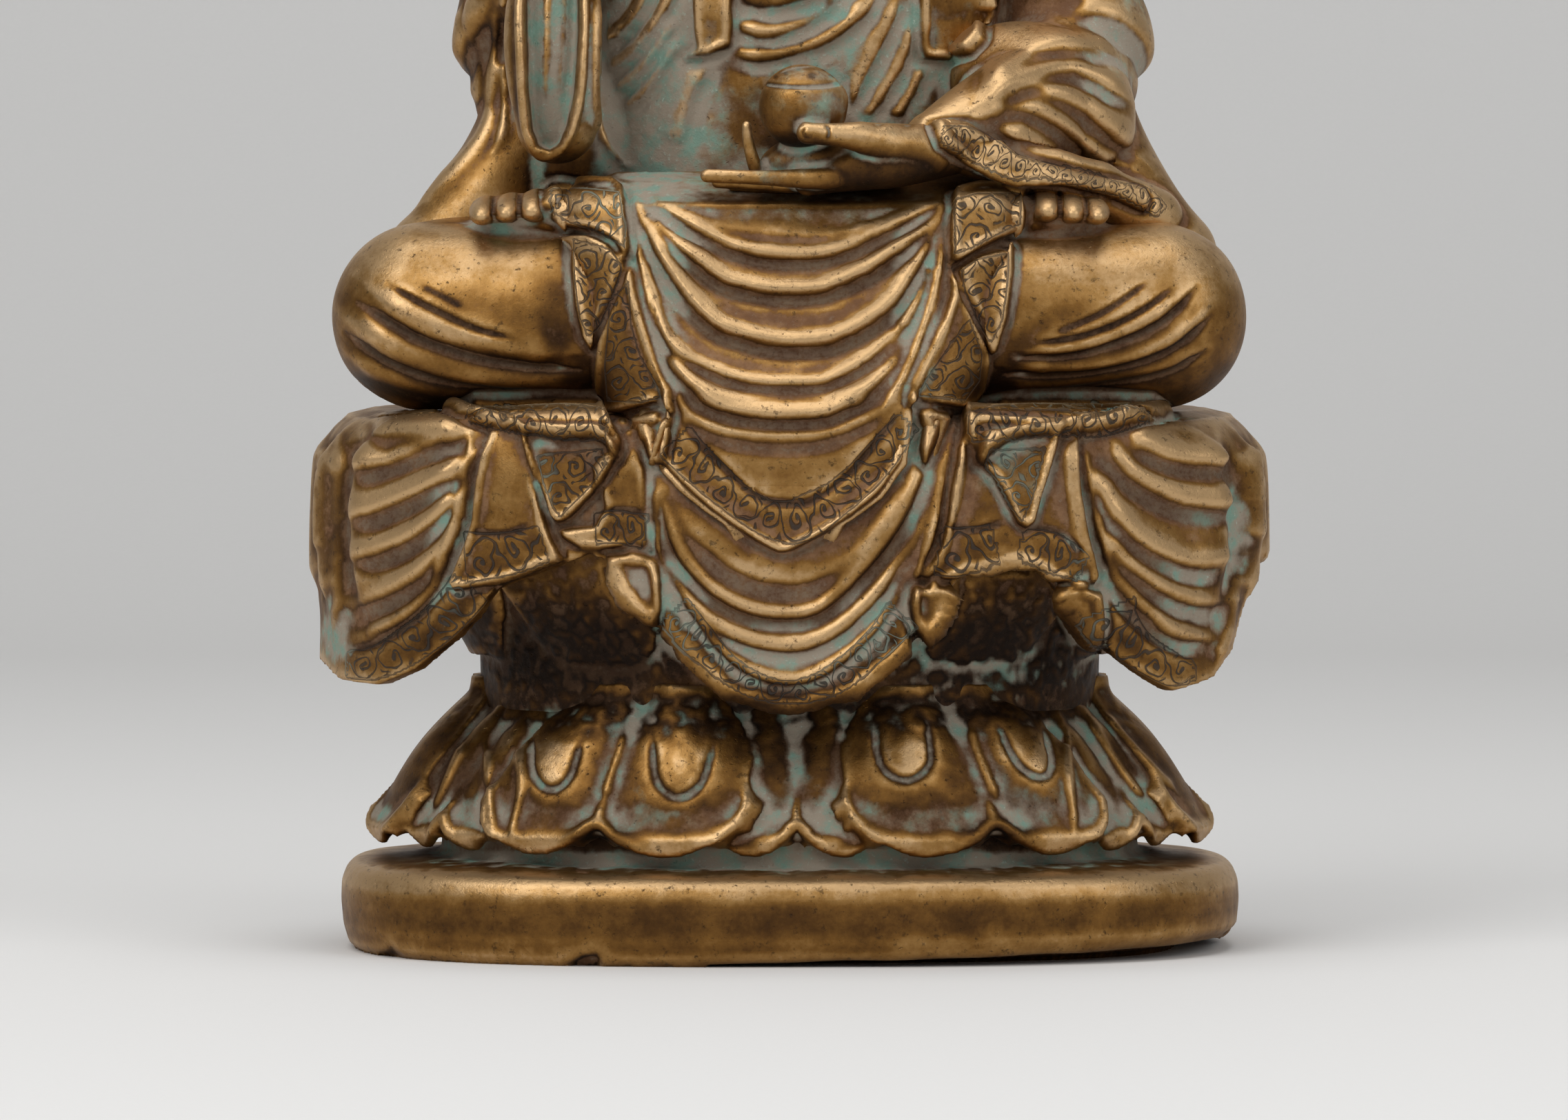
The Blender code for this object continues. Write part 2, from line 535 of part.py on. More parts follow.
def build_hands(group):
    """Make the hand under the pot, the pot, and the raised open hand."""
    pot = (2.1 * MM, -39.5 * MM, ELBOW_Z - 6.4 * MM)
    blob("pot", pot, (POT_RADIUS, POT_RADIUS, POT_RADIUS * 0.98), group)
    blob("palm_left", (9 * MM, -35 * MM, ELBOW_Z - 14.8 * MM), (14 * MM, 7.5 * MM, 5.4 * MM), group, (0, -4, 0))
    limb("wrist_left", (
        (SHOULDER_REACH - 14 * MM, -33 * MM, ELBOW_Z - 12.5 * MM, 4.4 * MM),
        (14 * MM, -37 * MM, ELBOW_Z - 13.0 * MM, 4.6 * MM),
    ), group)
    limb("thumb_left", (
        (SHOULDER_REACH - 17 * MM, -38 * MM, ELBOW_Z - 12.3 * MM, 3.0 * MM),
        (12 * MM, -42.5 * MM, ELBOW_Z - 11.2 * MM, 2.5 * MM),
        (2.6 * MM, -44.0 * MM, ELBOW_Z - 10.9 * MM, 1.75 * MM),
    ), group)
    for k, (reach, drop) in enumerate(((-13.2, 18.6), (-11.5, 19.6), (-9.0, 20.2), (-6.0, 20.4))):
        y = (-41.0 + 4.0 * k) * MM
        limb(f"finger_left_{k}", (
            (14 * MM, y, ELBOW_Z - 17.0 * MM, FINGER_RADIUS * 1.2),
            (2 * MM, y - 0.5 * MM, ELBOW_Z - (drop - 0.4) * MM, FINGER_RADIUS),
            (reach * MM, y, ELBOW_Z - drop * MM, FINGER_RADIUS * 0.8),
        ), group)
    limb("finger_curl_left", (
        (-4.6 * MM, -37 * MM, ELBOW_Z - 18 * MM, 1.5 * MM),
        (-6.4 * MM, -38 * MM, ELBOW_Z - 14 * MM, 1.3 * MM),
        (-6.8 * MM, -38 * MM, ELBOW_Z - 9.6 * MM, 0.9 * MM),
    ), group)
    wrist = Vector((-SHOULDER_REACH + 2.5 * MM, -24 * MM, ELBOW_Z + 33 * MM))
    palm = wrist + Vector((0.0, -1.5 * MM, 9.0 * MM))
    limb("wrist_right", ((*wrist, 4.0 * MM), (*(wrist + Vector((0.0, -1.0 * MM, 6.0 * MM))), 4.0 * MM)), group)
    blob("palm_right", palm, (6.6 * MM, 3.2 * MM, 7.8 * MM), group)
    for k, (x, length) in enumerate(((-4.7, 12.0), (-1.6, 14.5), (1.6, 15.5), (4.7, 13.5))):
        root = palm + Vector((x * MM, 0.0, 5.0 * MM))
        end = root + Vector((x * 0.12 * MM, -1.2 * MM, length * MM))
        limb(f"finger_right_{k}", ((*root, FINGER_RADIUS), (*end, FINGER_RADIUS * 0.78)), group)
    root = palm + Vector((5.6 * MM, -0.6 * MM, -3.0 * MM))
    end = root + Vector((4.6 * MM, -2.0 * MM, 8.6 * MM))
    limb("thumb_right", ((*root, FINGER_RADIUS * 1.35), (*end, FINGER_RADIUS * 0.95)), group)


def build_head(group):
    """Make the plain shaven head with long ears."""
    z = HEAD_Z
    wide = HEAD_HALF_WIDTH
    high = HEAD_HALF_HEIGHT
    limb("neck", ((0.0, 3 * MM, SHOULDER_Z + 6 * MM, wide * 0.62), (0.0, 1 * MM, z - high * 0.75, wide * 0.56)), group)
    blob("skull", (0.0, 2.0 * MM, z + high * 0.08), (wide, wide * 1.12, high * 0.95), group)
    blob("face", (0.0, -4.2 * MM, z - high * 0.28), (wide * 0.84, wide * 0.84, high * 0.80), group)
    blob("chin", (0.0, -9.0 * MM, z - high * 0.86), (wide * 0.44, wide * 0.42, high * 0.24), group)
    limb("nose", (
        (0.0, -15.6 * MM, z - high * 0.06, 1.5 * MM),
        (0.0, -18.4 * MM, z - high * 0.36, 2.3 * MM),
    ), group)
    blob("mouth", (0.0, -15.2 * MM, z - high * 0.66), (4.2 * MM, 2.6 * MM, 2.2 * MM), group)
    for side in (-1, 1):
        blob(f"cheek_{side}", (side * 6.4 * MM, -11.0 * MM, z - high * 0.42), (5.6 * MM, 5.2 * MM, 6.0 * MM), group)
        blob(f"eye_{side}", (side * 6.0 * MM, -14.2 * MM, z - high * 0.12), (3.7 * MM, 2.2 * MM, 1.9 * MM), group)
        blob(f"brow_{side}", (side * 6.2 * MM, -14.2 * MM, z + high * 0.06), (5.0 * MM, 2.2 * MM, 1.5 * MM), group,
             (0, side * 6.0, side * 18.0))
        blob(f"ear_{side}", (side * (wide + 0.2 * MM), 1.5 * MM, z - high * 0.16),
             (2.0 * MM, 4.4 * MM, 7.0 * MM), group, (-8.0, 0.0, side * -16.0))
        blob(f"ear_lobe_{side}", (side * (wide - 0.6 * MM), -0.4 * MM, z - high * 0.62),
             (1.9 * MM, 2.8 * MM, 4.6 * MM), group)


# Raised pieces of cloth: (height, softness, outline) in table millimetres
PANELS = (
    # First tier of the apron, over the second
    (2.2, 0.7, ((-25, 90), (-24, 84), (-20.5, 80), (-15, 75.5), (-9, 71), (-4, 67.6), (-2, 66.8), (0, 67.4),
                (5, 69.8), (10, 72.5), (15, 76), (19, 80), (20.6, 83.5), (22, 90))),
    # Second tier
    (1.2, 0.7, ((-23, 88), (-21.5, 66), (-20.6, 56), (-20, 53), (-10, 40), (0, 36), (10, 38), (19, 50),
                (20.5, 60), (24, 72), (26, 88))),
    # Robe edges on the left of the picture, from the lap down
    (1.6, 0.6, ((-38.5, 125.2), (-33, 126), (-26, 125), (-25, 119), (-25.6, 113.2), (-28, 115.8), (-31, 117.2),
                (-35, 118.3), (-38.2, 120.3))),
    (1.9, 0.6, ((-35, 117.5), (-35.2, 110), (-34, 104), (-32.6, 99.3), (-31, 99.3), (-29.5, 103), (-27.5, 107.8),
                (-26, 110.8), (-26, 113.4), (-28.5, 115.8), (-32, 117))),
    (1.4, 0.6, ((-27, 109), (-25, 111), (-23.6, 104), (-22, 99), (-20, 93), (-17.8, 88.4), (-20.5, 90.2),
                (-24, 90), (-27, 89.2), (-30, 90), (-30.6, 96), (-29, 102))),
    (1.8, 0.8, ((-24.6, 88.2), (-24, 84.6), (-22, 81), (-20.4, 81), (-19, 84.6), (-18.6, 88.2))),
    # Robe edges on the right of the picture
    (1.6, 0.6, ((25.8, 124), (30, 124.6), (37, 124.6), (37.9, 121.5), (37, 117.5), (33, 115.8), (29, 113.8),
                (26, 112.2), (25.4, 118))),
    (1.9, 0.6, ((26.6, 112.5), (29, 115), (33, 115.4), (36, 114.5), (35.6, 108), (34.6, 102), (33, 98.8),
                (31.4, 99), (29.5, 103), (27, 108.6))),
    (1.4, 0.6, ((26.2, 111), (24.5, 104), (22.5, 98), (20, 93), (18.8, 90.4), (24, 90), (29.6, 90), (31.6, 94),
                (31.6, 98), (30, 102.4), (28.6, 106))),
    # Cloth folded over the seat's front edge
    (1.8, 0.6, ((-56, 88.6), (-48, 90.5), (-36, 91), (-28, 89.5), (-26.6, 85), (-27.4, 81), (-29, 82.6), (-33, 83.5),
                (-38, 84.3), (-44, 85.2), (-50, 86.5))),
    (1.8, 0.6, ((27.6, 89), (34, 91), (52, 91), (60, 88), (54, 86.2), (46, 85.3), (40, 84.2), (34, 83), (31, 81.8),
                (29.4, 80.2), (27.6, 84))),
    # Triangular ends
    (1.7, 0.6, ((-42.4, 86), (-40.6, 79), (-39.5, 76), (-37.6, 72), (-36.5, 71.2), (-35, 72), (-32, 75.5),
                (-29.5, 79.5), (-28, 82), (-30, 86))),
    (1.7, 0.6, ((29.6, 84), (30.5, 79.5), (33, 76.5), (35, 73), (37, 70.6), (38.4, 71.4), (39.6, 75), (41, 80),
                (42.8, 86))),
    # Panels with engraved ends
    (1.6, 0.6, ((-47.4, 87), (-49, 80), (-50, 72), (-51, 67), (-53.8, 62.2), (-53, 60.6), (-48, 61.3), (-42, 62.8),
                (-36, 64.6), (-32, 66.3), (-36, 69), (-38.6, 72), (-40, 78), (-42, 87))),
    (1.0, 0.6, ((-31, 80), (-29.4, 74), (-31, 70.6), (-36, 69.6), (-33, 67), (-28, 67.6), (-22, 66.2), (-22, 72),
                (-23, 80), (-24, 87), (-27, 85))),
    (1.6, 0.6, ((27, 87), (26, 78), (24.4, 70), (21.6, 64.6), (21.5, 62.4), (24, 61.6), (28, 63.2), (33, 64.2),
                (36.5, 65.2), (40, 64), (44, 61.4), (48.6, 61.2), (49, 63), (47.4, 68), (46, 74), (45.4, 87))),
    # Chest cloth ends under the shoulders
    (1.6, 0.6, ((-16.4, 162), (-15, 150), (-14.4, 147), (-16.6, 145.2), (-12, 146), (-9.6, 147), (-9, 155), (-9, 162))),
    (1.6, 0.6, ((22.4, 162), (21.5, 150), (20.6, 146.2), (25, 145.8), (28.6, 147), (30.6, 149), (31.6, 162))),
    # Cuff that runs from the hand over the thigh
    (1.4, 0.7, ((22.4, 135), (27, 135), (31, 134), (34, 131), (37, 129.2), (42, 128.4), (48, 127), (52, 126), (57, 125.8),
                (61, 123.4), (60, 118.8), (56, 120.5), (52, 122.5), (49, 124.2), (45, 125.2), (40, 125.3),
                (35, 125.8), (31, 127), (28, 128.5), (25, 131))),
)

# Rounded folds with a hollow under them: (width, height, line)
FOLDS = (
    # Robe over the chest
    (2.4, 1.8, ((-17, 202), (-13, 190), (-6, 179), (2, 171), (10, 165))),
    (2.4, 1.8, ((0, 172), (6, 180), (12, 190), (17, 202))),
    (2.0, 1.4, ((-12, 170), (-4, 163), (4, 162), (14, 166), (22, 174))),
    (2.0, 1.4, ((-10, 162), (-4, 157), (4, 157), (13, 162), (20, 168))),
    (2.4, 1.4, ((-34, 188), (-26, 174), (-20, 162))),
    (2.4, 1.4, ((34, 188), (30, 174), (28, 162))),
    # First tier of the apron
    (1.7, 1.0, ((-15, 119.4), (-8, 117.8), (0, 117), (8, 117.5), (16, 119.6))),
    (1.6, 1.8, ((-22, 122.5), (-18, 120), (-12, 116.7), (-6, 114.6), (0, 113.8), (6, 114.5), (12, 116.8),
                (18, 119.5), (23, 122.5))),
    (1.7, 2.0, ((-22, 119), (-18, 116), (-14, 113), (-9, 110), (-4, 108.6), (0, 108.4), (4, 109), (9, 110.8),
                (14, 113.4), (19, 116.5), (23, 120))),
    (1.7, 2.1, ((-24.4, 122), (-21, 116), (-18, 111), (-14, 106.5), (-10, 103), (-5, 100.7), (0, 100), (5, 100.6),
                (10, 102.3), (14, 105), (18, 109), (21, 114), (24, 120.5))),
    (1.5, 1.6, ((-22, 106), (-19.5, 99.5), (-16, 97.4), (-11, 95.4), (-6, 93.7), (0, 93.2), (5, 93.8), (10, 95.6),
                (14, 98.4), (16.5, 101))),
    (1.7, 2.1, ((-22.4, 104), (-18, 95.5), (-14, 91.5), (-9, 89.4), (-4, 88.8), (0, 88.8), (4, 89), (9, 90.3),
                (13, 92), (17, 96))),
    (1.6, 1.2, ((-18, 92), (-13, 87.6), (-8, 85.6), (-3, 85), (3, 85), (8, 86), (13, 89.6))),
    # Second tier
    (2.0, 1.3, ((-19, 76), (-14, 69), (-9, 64.6), (-3, 62.4), (0, 62.2), (4, 63), (9, 66), (14, 71), (18, 76))),
    (1.8, 2.0, ((-20, 75), (-16, 67.5), (-12, 62.5), (-7, 58.8), (-3, 57.6), (0, 57.4), (4, 58), (8, 60),
                (12, 63.5), (16, 68.5), (20, 76), (23, 84))),
    (1.7, 1.6, ((-19, 68), (-14, 60), (-10, 56), (-5, 53.4), (0, 52.8), (5, 53.8), (10, 57), (15, 62), (20, 69))),
    (1.4, 1.0, ((-18, 61), (-13, 54.5), (-9, 50), (-5, 47.3), (0, 46.2), (4, 47.3), (8, 50), (12, 54), (17, 60))),
    # Folds over the shins
    (1.9, 1.6, ((-68, 109), (-62, 105.4), (-57, 102.4), (-50, 100.2), (-42, 98.6), (-34, 97.6))),
    (1.9, 1.8, ((-71.5, 105), (-66, 101.4), (-60, 98.4), (-53, 96.4), (-45, 95), (-35, 94))),
    (1.8, 1.5, ((-72, 101), (-67, 97), (-61, 94.4), (-53, 92.4), (-42, 91.6), (-34, 91.6))),
    (1.8, 1.6, ((65.5, 108), (60, 104.6), (53, 101.6), (46, 100), (35, 99.6))),
    (1.8, 1.8, ((68, 104.6), (62, 101.2), (55, 98.6), (46, 96.8), (34, 96.6))),
    (1.8, 1.6, ((70, 100), (63, 97.4), (56, 95.4), (46, 93.8), (34, 94))),
    # Fan on the left
    (2.2, 2.0, ((-51, 86), (-58, 84.4), (-64, 82.2), (-69.5, 80.4))),
    (2.3, 2.2, ((-51, 84.4), (-57, 80.4), (-63, 76), (-69.5, 72.6))),
    (2.3, 2.2, ((-51.6, 82), (-57, 75.6), (-62, 70), (-69.5, 65.6))),
    (2.2, 2.0, ((-52, 78), (-56, 70.6), (-61, 64), (-69.5, 58))),
    (1.8, 1.4, ((-52, 74), (-55, 67), (-60, 59.6), (-66, 54), (-70, 52.4))),
    # Fan on the right
    (2.2, 2.0, ((50, 86), (57, 83.6), (64, 82), (71, 81.6))),
    (2.3, 2.2, ((48.6, 84.4), (54, 80), (60, 77), (65, 75.4), (71, 74.6))),
    (2.3, 2.2, ((48, 82), (51, 77), (56, 72), (61, 68), (66, 66.4), (71, 66))),
    (2.2, 2.0, ((47.6, 79), (50, 73), (54, 67.4), (59, 62.4), (64, 59.4), (70, 58.6))),
    (1.8, 1.5, ((47.2, 75), (49.5, 68.6), (53, 62.6), (57, 58), (62, 54.6), (68, 53.4))),
    # Sleeve over the pot arm
    (2.0, 1.5, ((30, 139.5), (35, 144), (41, 147.3), (47, 147.5), (52, 145.6))),
    (2.0, 1.5, ((32, 138), (38, 142.2), (43, 143.8), (49, 142.4), (54, 138))),
    (2.0, 1.5, ((31, 136), (37, 139), (42, 138.6), (47, 135.6), (52, 131), (55, 128.6))),
    (1.8, 1.2, ((32, 134.8), (38, 132.8), (44, 130.4), (50, 128.4), (56, 127))),
    # Chest
    (1.8, 1.3, ((-9, 151.6), (-4, 150.4), (0, 151), (5, 153.2), (9, 157))),
    (1.8, 1.3, ((-9.4, 147), (-5, 146.4), (0, 147.2), (5, 149.4), (10, 153.8))),
    (1.8, 1.2, ((-16, 152), (-20, 146.6), (-28, 143.4))),
    (1.8, 1.2, ((-17, 147), (-21, 142), (-27, 139))),
    (1.8, 1.2, ((19.6, 155), (16, 148), (12, 140), (9.6, 135))),
    (1.8, 1.2, ((21.4, 147), (18.6, 141), (15.4, 135))),
)

# Folds that run down: (width, height, line)
RIDGES = (
    (1.1, 1.0, ((-25.4, 113), (-24.4, 106), (-23.2, 101), (-21.2, 95), (-18.6, 89.6))),
    (1.2, 1.0, ((-22.8, 116), (-21.8, 108), (-20.2, 100), (-18, 92), (-15.6, 86))),
    (1.1, 1.0, ((25.4, 113), (24.2, 105), (22.2, 98), (19.4, 91))),
    (1.2, 1.0, ((23.2, 116), (22.4, 108), (20.6, 100), (17.4, 91), (12, 84))),
    (1.2, 1.2, ((24, 86), (22, 76), (19.4, 67), (16, 60.6))),
    (1.2, 1.0, ((27, 86), (25.6, 76), (23.4, 67.6), (21.8, 63))),
    (1.4, 1.3, ((43.8, 84.6), (44.2, 77), (46, 70), (48.6, 63.4))),
    (1.6, 1.4, ((-72.6, 84), (-72.6, 74), (-72.8, 63), (-72.6, 52))),
    (1.6, 1.2, ((72.4, 84), (72.6, 75), (71.4, 66), (70.6, 56))),
    (1.3, 1.4, ((-44.4, 156), (-44, 142), (-43.2, 134.6), (-41.4, 130.4), (-38.6, 129.2), (-35.6, 131),
                (-33.6, 135.6), (-32, 144), (-31.6, 156))),
    (1.2, 1.0, ((-30, 156), (-30.6, 142), (-29.4, 134), (-27, 129), (-23.4, 127))),
    (1.4, 1.2, ((-45.6, 152), (-46.6, 140), (-47.6, 133), (-52, 127.4), (-58, 122.4))),
    (1.2, 1.0, ((-49.6, 154), (-49.4, 142), (-49.6, 134))),
)

# Hollows: (width, depth, line)
GROOVES = (
    (1.3, 1.3, ((-63.4, 109.4), (-59, 106), (-53, 103.6), (-46, 101.6))),
    (1.3, 1.3, ((61.6, 108.6), (55, 104.4), (47, 101.8), (40, 100.4))),
    (1.2, 1.0, ((57, 109.6), (50, 105), (42, 102))),
    (1.0, 0.9, ((-6, 141.4), (-2, 140.9), (2, 140.7), (6, 140.9), (10, 141.4))),
    (1.2, 1.4, ((-58, 119.2), (-50, 119.3), (-40, 119.0), (-36, 118.2))),
    (1.2, 1.4, ((56, 119.4), (48, 119.4), (40, 119.2), (37, 118.0))),
    (0.9, 1.2, ((-43.6, 124.5), (-43.6, 120))),
    (0.8, 1.0, ((-46.3, 124), (-46.3, 120))),
    (0.8, 1.0, ((-48.7, 124), (-48.7, 120))),
    (0.9, 1.2, ((43.5, 124.5), (43.5, 120))),
    (0.8, 1.0, ((46.4, 124), (46.4, 120))),
    (0.8, 1.0, ((48.8, 124), (48.8, 120))),
)

# Sleeve mouth of the raised arm and two chips at the foot: (depth, softness, outline)
HOLLOWS = (
    (1.8, 0.6, ((-36.8, -2), (-35.8, 1.6), (-33, 2.6), (-30.6, 1.3), (-29.4, -2))),
    (1.5, 0.6, ((-66.2, -2), (-65.4, 2.4), (-63.6, 3.4), (-61.8, 1.8), (-60.8, -2))),
    (5.5, 1.0, ((-42.6, 168), (-42.8, 150), (-42, 138), (-40.6, 132.6), (-38.4, 131), (-36, 133), (-34.4, 138),
                (-33.2, 150), (-33, 168))),
)

# Cloth on the two sides of the seat and the sleeves: (width, height, line), as (y, height)
SIDE_FOLDS = (
    (2.4, 1.6, ((-30, 85), (-29, 72), (-30, 58))),
    (2.4, 1.6, ((-18, 85), (-17, 70), (-19, 56))),
    (2.4, 1.6, ((-6, 85), (-5, 70), (-6, 58))),
    (2.4, 1.6, ((6, 85), (7, 72), (6, 62))),
    (2.6, 1.4, ((-10, 186), (4, 176), (14, 172))),
    (2.6, 1.4, ((-12, 172), (2, 160), (13, 156))),
    (2.6, 1.4, ((-14, 156), (0, 146), (12, 142))),
)

# Back of the robe and of the throne cloth: (width, height, line), seen from behind
BACK_FOLDS = (
    (3.0, 1.6, ((-34, 186), (-18, 176), (0, 172), (18, 177), (34, 188))),
    (3.0, 1.6, ((-38, 172), (-20, 160), (0, 155), (20, 160), (38, 174))),
    (3.0, 1.6, ((-38, 156), (-22, 143), (0, 138), (22, 144), (38, 158))),
    (3.0, 1.6, ((-42, 138), (-24, 127), (0, 121), (24, 127), (42, 140))),
    (2.6, 1.4, ((-52, 122), (-34, 110), (-14, 104), (0, 103))),
    (2.6, 1.4, ((52, 122), (34, 110), (14, 104), (0, 103))),
    (2.4, 1.3, ((-62, 112), (-44, 100), (-22, 95))),
    (2.4, 1.3, ((62, 112), (44, 100), (22, 95))),
)


class Skin:
    """The remeshed surface as arrays, with the tools that carve it."""

    def __init__(self, data):
        self.data = data
        count = len(data.vertices)
        self.points = np.empty(count * 3)
        data.vertices.foreach_get("co", self.points)
        self.points = self.points.reshape(count, 3)
        self.normals = self.read_normals()

    def read_normals(self):
        """Read the vertex normals of the mesh."""
        out = np.empty(len(self.data.vertices) * 3)
        self.data.vertices.foreach_get("normal", out)
        return out.reshape(-1, 3)

    def write(self):
        """Put the points back into the mesh."""
        self.data.vertices.foreach_set("co", self.points.ravel())
        self.data.update()

    def in_sight(self, u, v, depth, facing):
        """Weigh the points by how far they face the eye and lie near the frontmost skin."""
        column = np.floor(u / SIGHT_CELL).astype(int)
        row = np.floor(v / SIGHT_CELL).astype(int)
        column -= column.min() - 1
        row -= row.min() - 1
        nearest = np.full((column.max() + 2, row.max() + 2), np.inf)
        front = facing > 0.1
        np.minimum.at(nearest, (column[front], row[front]), depth[front])
        behind = np.clip(2.0 - (depth - nearest[column, row]) / SIGHT_DEPTH, 0.0, 1.0)
        turned = np.clip((facing + 0.10) / 0.35, 0.0, 1.0)
        return behind * turned * turned * (3.0 - 2.0 * turned)

    def look(self, place="front"):
        """Project the points as the tables see them, and weigh those in sight."""
        x, y, z = self.points.T
        if place != "front":
            self.v = drawn_height(z)
            self.u = -x / drawn_widening(z) if place == "back" else y * (48.0 * MM / PLINTH_HALF_DEPTH)
            facing = {"back": self.normals[:, 1], "left": self.normals[:, 0], "right": -self.normals[:, 0]}
            depth = {"back": -y, "left": -x, "right": x}
            self.seen = self.in_sight(self.u, self.v, depth[place], facing[place])
            return
        shrink = 1.0 + (y - FRONT_PLANE) / EYE_DISTANCE
        height = EYE_HEIGHT + (z - EYE_HEIGHT) / shrink
        self.u = x / shrink / drawn_widening(height)
        self.v = drawn_height(height)
        self.seen = self.in_sight(self.u, self.v, y, -self.normals[:, 1])

    def near_line(self, line, reach, closed=False):
        """Return the seen points near a line, their signed distance and place along it."""
        p = smooth_line(line) * MM if not closed else np.array(list(line) + [line[0]]) * MM
        low = p.min(axis=0) - reach
        high = p.max(axis=0) + reach
        box = (self.u > low[0]) & (self.u < high[0]) & (self.v > low[1]) & (self.v < high[1])
        index = np.nonzero(box & (self.seen > 0.0))[0]
        u = self.u[index]
        v = self.v[index]
        best = np.full(len(index), np.inf)
        side = np.zeros(len(index))
        place = np.zeros(len(index))
        spans = np.linalg.norm(np.diff(p, axis=0), axis=1)
        run = np.concatenate([[0.0], np.cumsum(spans)])
        for k in range(len(p) - 1):
            d = p[k + 1] - p[k]
            length = max(spans[k], 1e-9)
            t = np.clip(((u - p[k, 0]) * d[0] + (v - p[k, 1]) * d[1]) / length ** 2, 0.0, 1.0)
            du = u - (p[k, 0] + t * d[0])
            dv = v - (p[k, 1] + t * d[1])
            distance = np.hypot(du, dv)
            closer = distance < best
            best[closer] = distance[closer]
            side[closer] = np.sign(d[0] * dv - d[1] * du)[closer]
            place[closer] = ((run[k] + t * length) / run[-1])[closer]
        return index, best, side, place, (u, v, p)

    def push(self, index, amount):
        """Move points along their normals by as much as they are in sight."""
        self.points[index] += self.normals[index] * (amount * self.seen[index])[:, None]

    def ridge(self, width, height, line, hollow=0.0):
        """Raise a rounded fold along a line, with an optional hollow on its lower side."""
        w = width * MM
        h = height * MM
        index, distance, side, place, _ = self.near_line(line, 3.0 * w + 2.0 * MM)
        taper = np.clip(np.minimum(place, 1.0 - place) / 0.12, 0.0, 1.0)
        taper = taper * taper * (3.0 - 2.0 * taper)
        amount = h * np.exp(-(distance / w) ** 2)
        if hollow:
            below = -1.0 if line[-1][0] > line[0][0] else 1.0
            signed = distance * side * below
            amount -= hollow * h * np.exp(-((signed - 1.7 * w) / (1.1 * w)) ** 2)
        self.push(index, amount * (0.15 + 0.85 * taper))

    def patch(self, height, softness, outline):
        """Raise or sink the inside of an outline."""
        soft = softness * MM
        index, distance, _, _, (u, v, p) = self.near_line(outline, 4.0 * soft + 1.0 * MM, closed=True)
        inside = np.zeros(len(index), dtype=bool)
        for k in range(len(p) - 1):
            a, b = p[k], p[k + 1]
            cross = (a[1] > v) != (b[1] > v)
            slope = (b[0] - a[0]) / (b[1] - a[1] if b[1] != a[1] else 1e-12)
            inside ^= cross & (u < a[0] + slope * (v - a[1]))
        signed = np.where(inside, distance, -distance)
        share = np.clip(0.5 + signed / (2.0 * soft), 0.0, 1.0)
        share = share * share * (3.0 - 2.0 * share)
        amount = height * MM * share
        if height > 0.0:
            amount -= 0.35 * height * MM * np.exp(-((signed + 1.4 * soft) / soft) ** 2)
            amount += 0.20 * height * MM * np.exp(-((signed - 1.6 * soft) / soft) ** 2)
        self.push(index, amount)


def join_forms(group):
    """Gather every base form into one mesh."""
    shape = bmesh.new()
    for item in group.objects:
        data = evaluated_mesh(item)
        shape.from_mesh(data)
        bpy.data.meshes.remove(data)
    data = bpy.data.meshes.new("statue_forms")
    shape.to_mesh(data)
    shape.free()
    return data


def remesh(data, group):
    """Fuse the overlapping forms into one closed skin."""
    item = add_object("statue_skin", data, group)
    fuse = item.modifiers.new("Fuse", "REMESH")
    fuse.mode = "VOXEL"
    fuse.voxel_size = VOXEL
    fuse.adaptivity = 0.0
    soften = item.modifiers.new("Soften", "SMOOTH")
    soften.factor = 0.5
    soften.iterations = SMOOTH_PASSES
    out = evaluated_mesh(item)
    bpy.data.objects.remove(item, do_unlink=True)
    return out


def keep_outer_skin(data):
    """Delete every loose piece but the largest, so no sealed pocket is left."""
    shape = bmesh.new()
    shape.from_mesh(data)
    shape.verts.ensure_lookup_table()
    seen = [False] * len(shape.verts)
    pieces = []
    for start in shape.verts:
        if seen[start.index]:
            continue
        seen[start.index] = True
        stack = [start]
        piece = []
        while stack:
            vertex = stack.pop()
            piece.append(vertex)
            for link in vertex.link_edges:
                other = link.other_vert(vertex)
                if not seen[other.index]:
                    seen[other.index] = True
                    stack.append(other)
        pieces.append(piece)
    pieces.sort(key=len)
    for piece in pieces[:-1]:
        bmesh.ops.delete(shape, geom=piece, context="VERTS")
    shape.to_mesh(data)
    shape.free()
    data.update()


def carve(data):
    """Carve the folds, cloth edges and hollows into the skin."""
    skin = Skin(data)
    skin.look()
    for height, softness, outline in PANELS:
        skin.patch(height, softness, outline)
    for width, height, line in FOLDS:
        skin.ridge(width, height, line, hollow=0.55)
    for width, height, line in RIDGES:
        skin.ridge(width, height, line)
    for width, depth, line in GROOVES:
        skin.ridge(width, -depth, line)
    for depth, softness, outline in HOLLOWS:
        skin.patch(-depth, softness, outline)
    for place, table in (("left", SIDE_FOLDS), ("right", SIDE_FOLDS), ("back", BACK_FOLDS)):
        skin.look(place)
        for width, height, line in table:
            skin.ridge(width, height, line, hollow=0.5)
    skin.write()


def reduce_facets(data, group):
    """Bring the skin to its facet count."""
    item = add_object("statue_reduce", data, group)
    split = item.modifiers.new("Facets", "TRIANGULATE")
    split.quad_method = "SHORTEST_DIAGONAL"
    triangles = sum(len(face.vertices) - 2 for face in data.polygons)
    thin = item.modifiers.new("Reduce", "DECIMATE")
    thin.decimate_type = "COLLAPSE"
    thin.ratio = FACET_COUNT / triangles
    out = evaluated_mesh(item)
    bpy.data.objects.remove(item, do_unlink=True)
    return out


def flatten_foot(data):
    """Set the resting face level at the bottom."""
    for vertex in data.vertices:
        if vertex.co.z < 0.4 * MM:
            vertex.co.z = 0.0
    data.update()


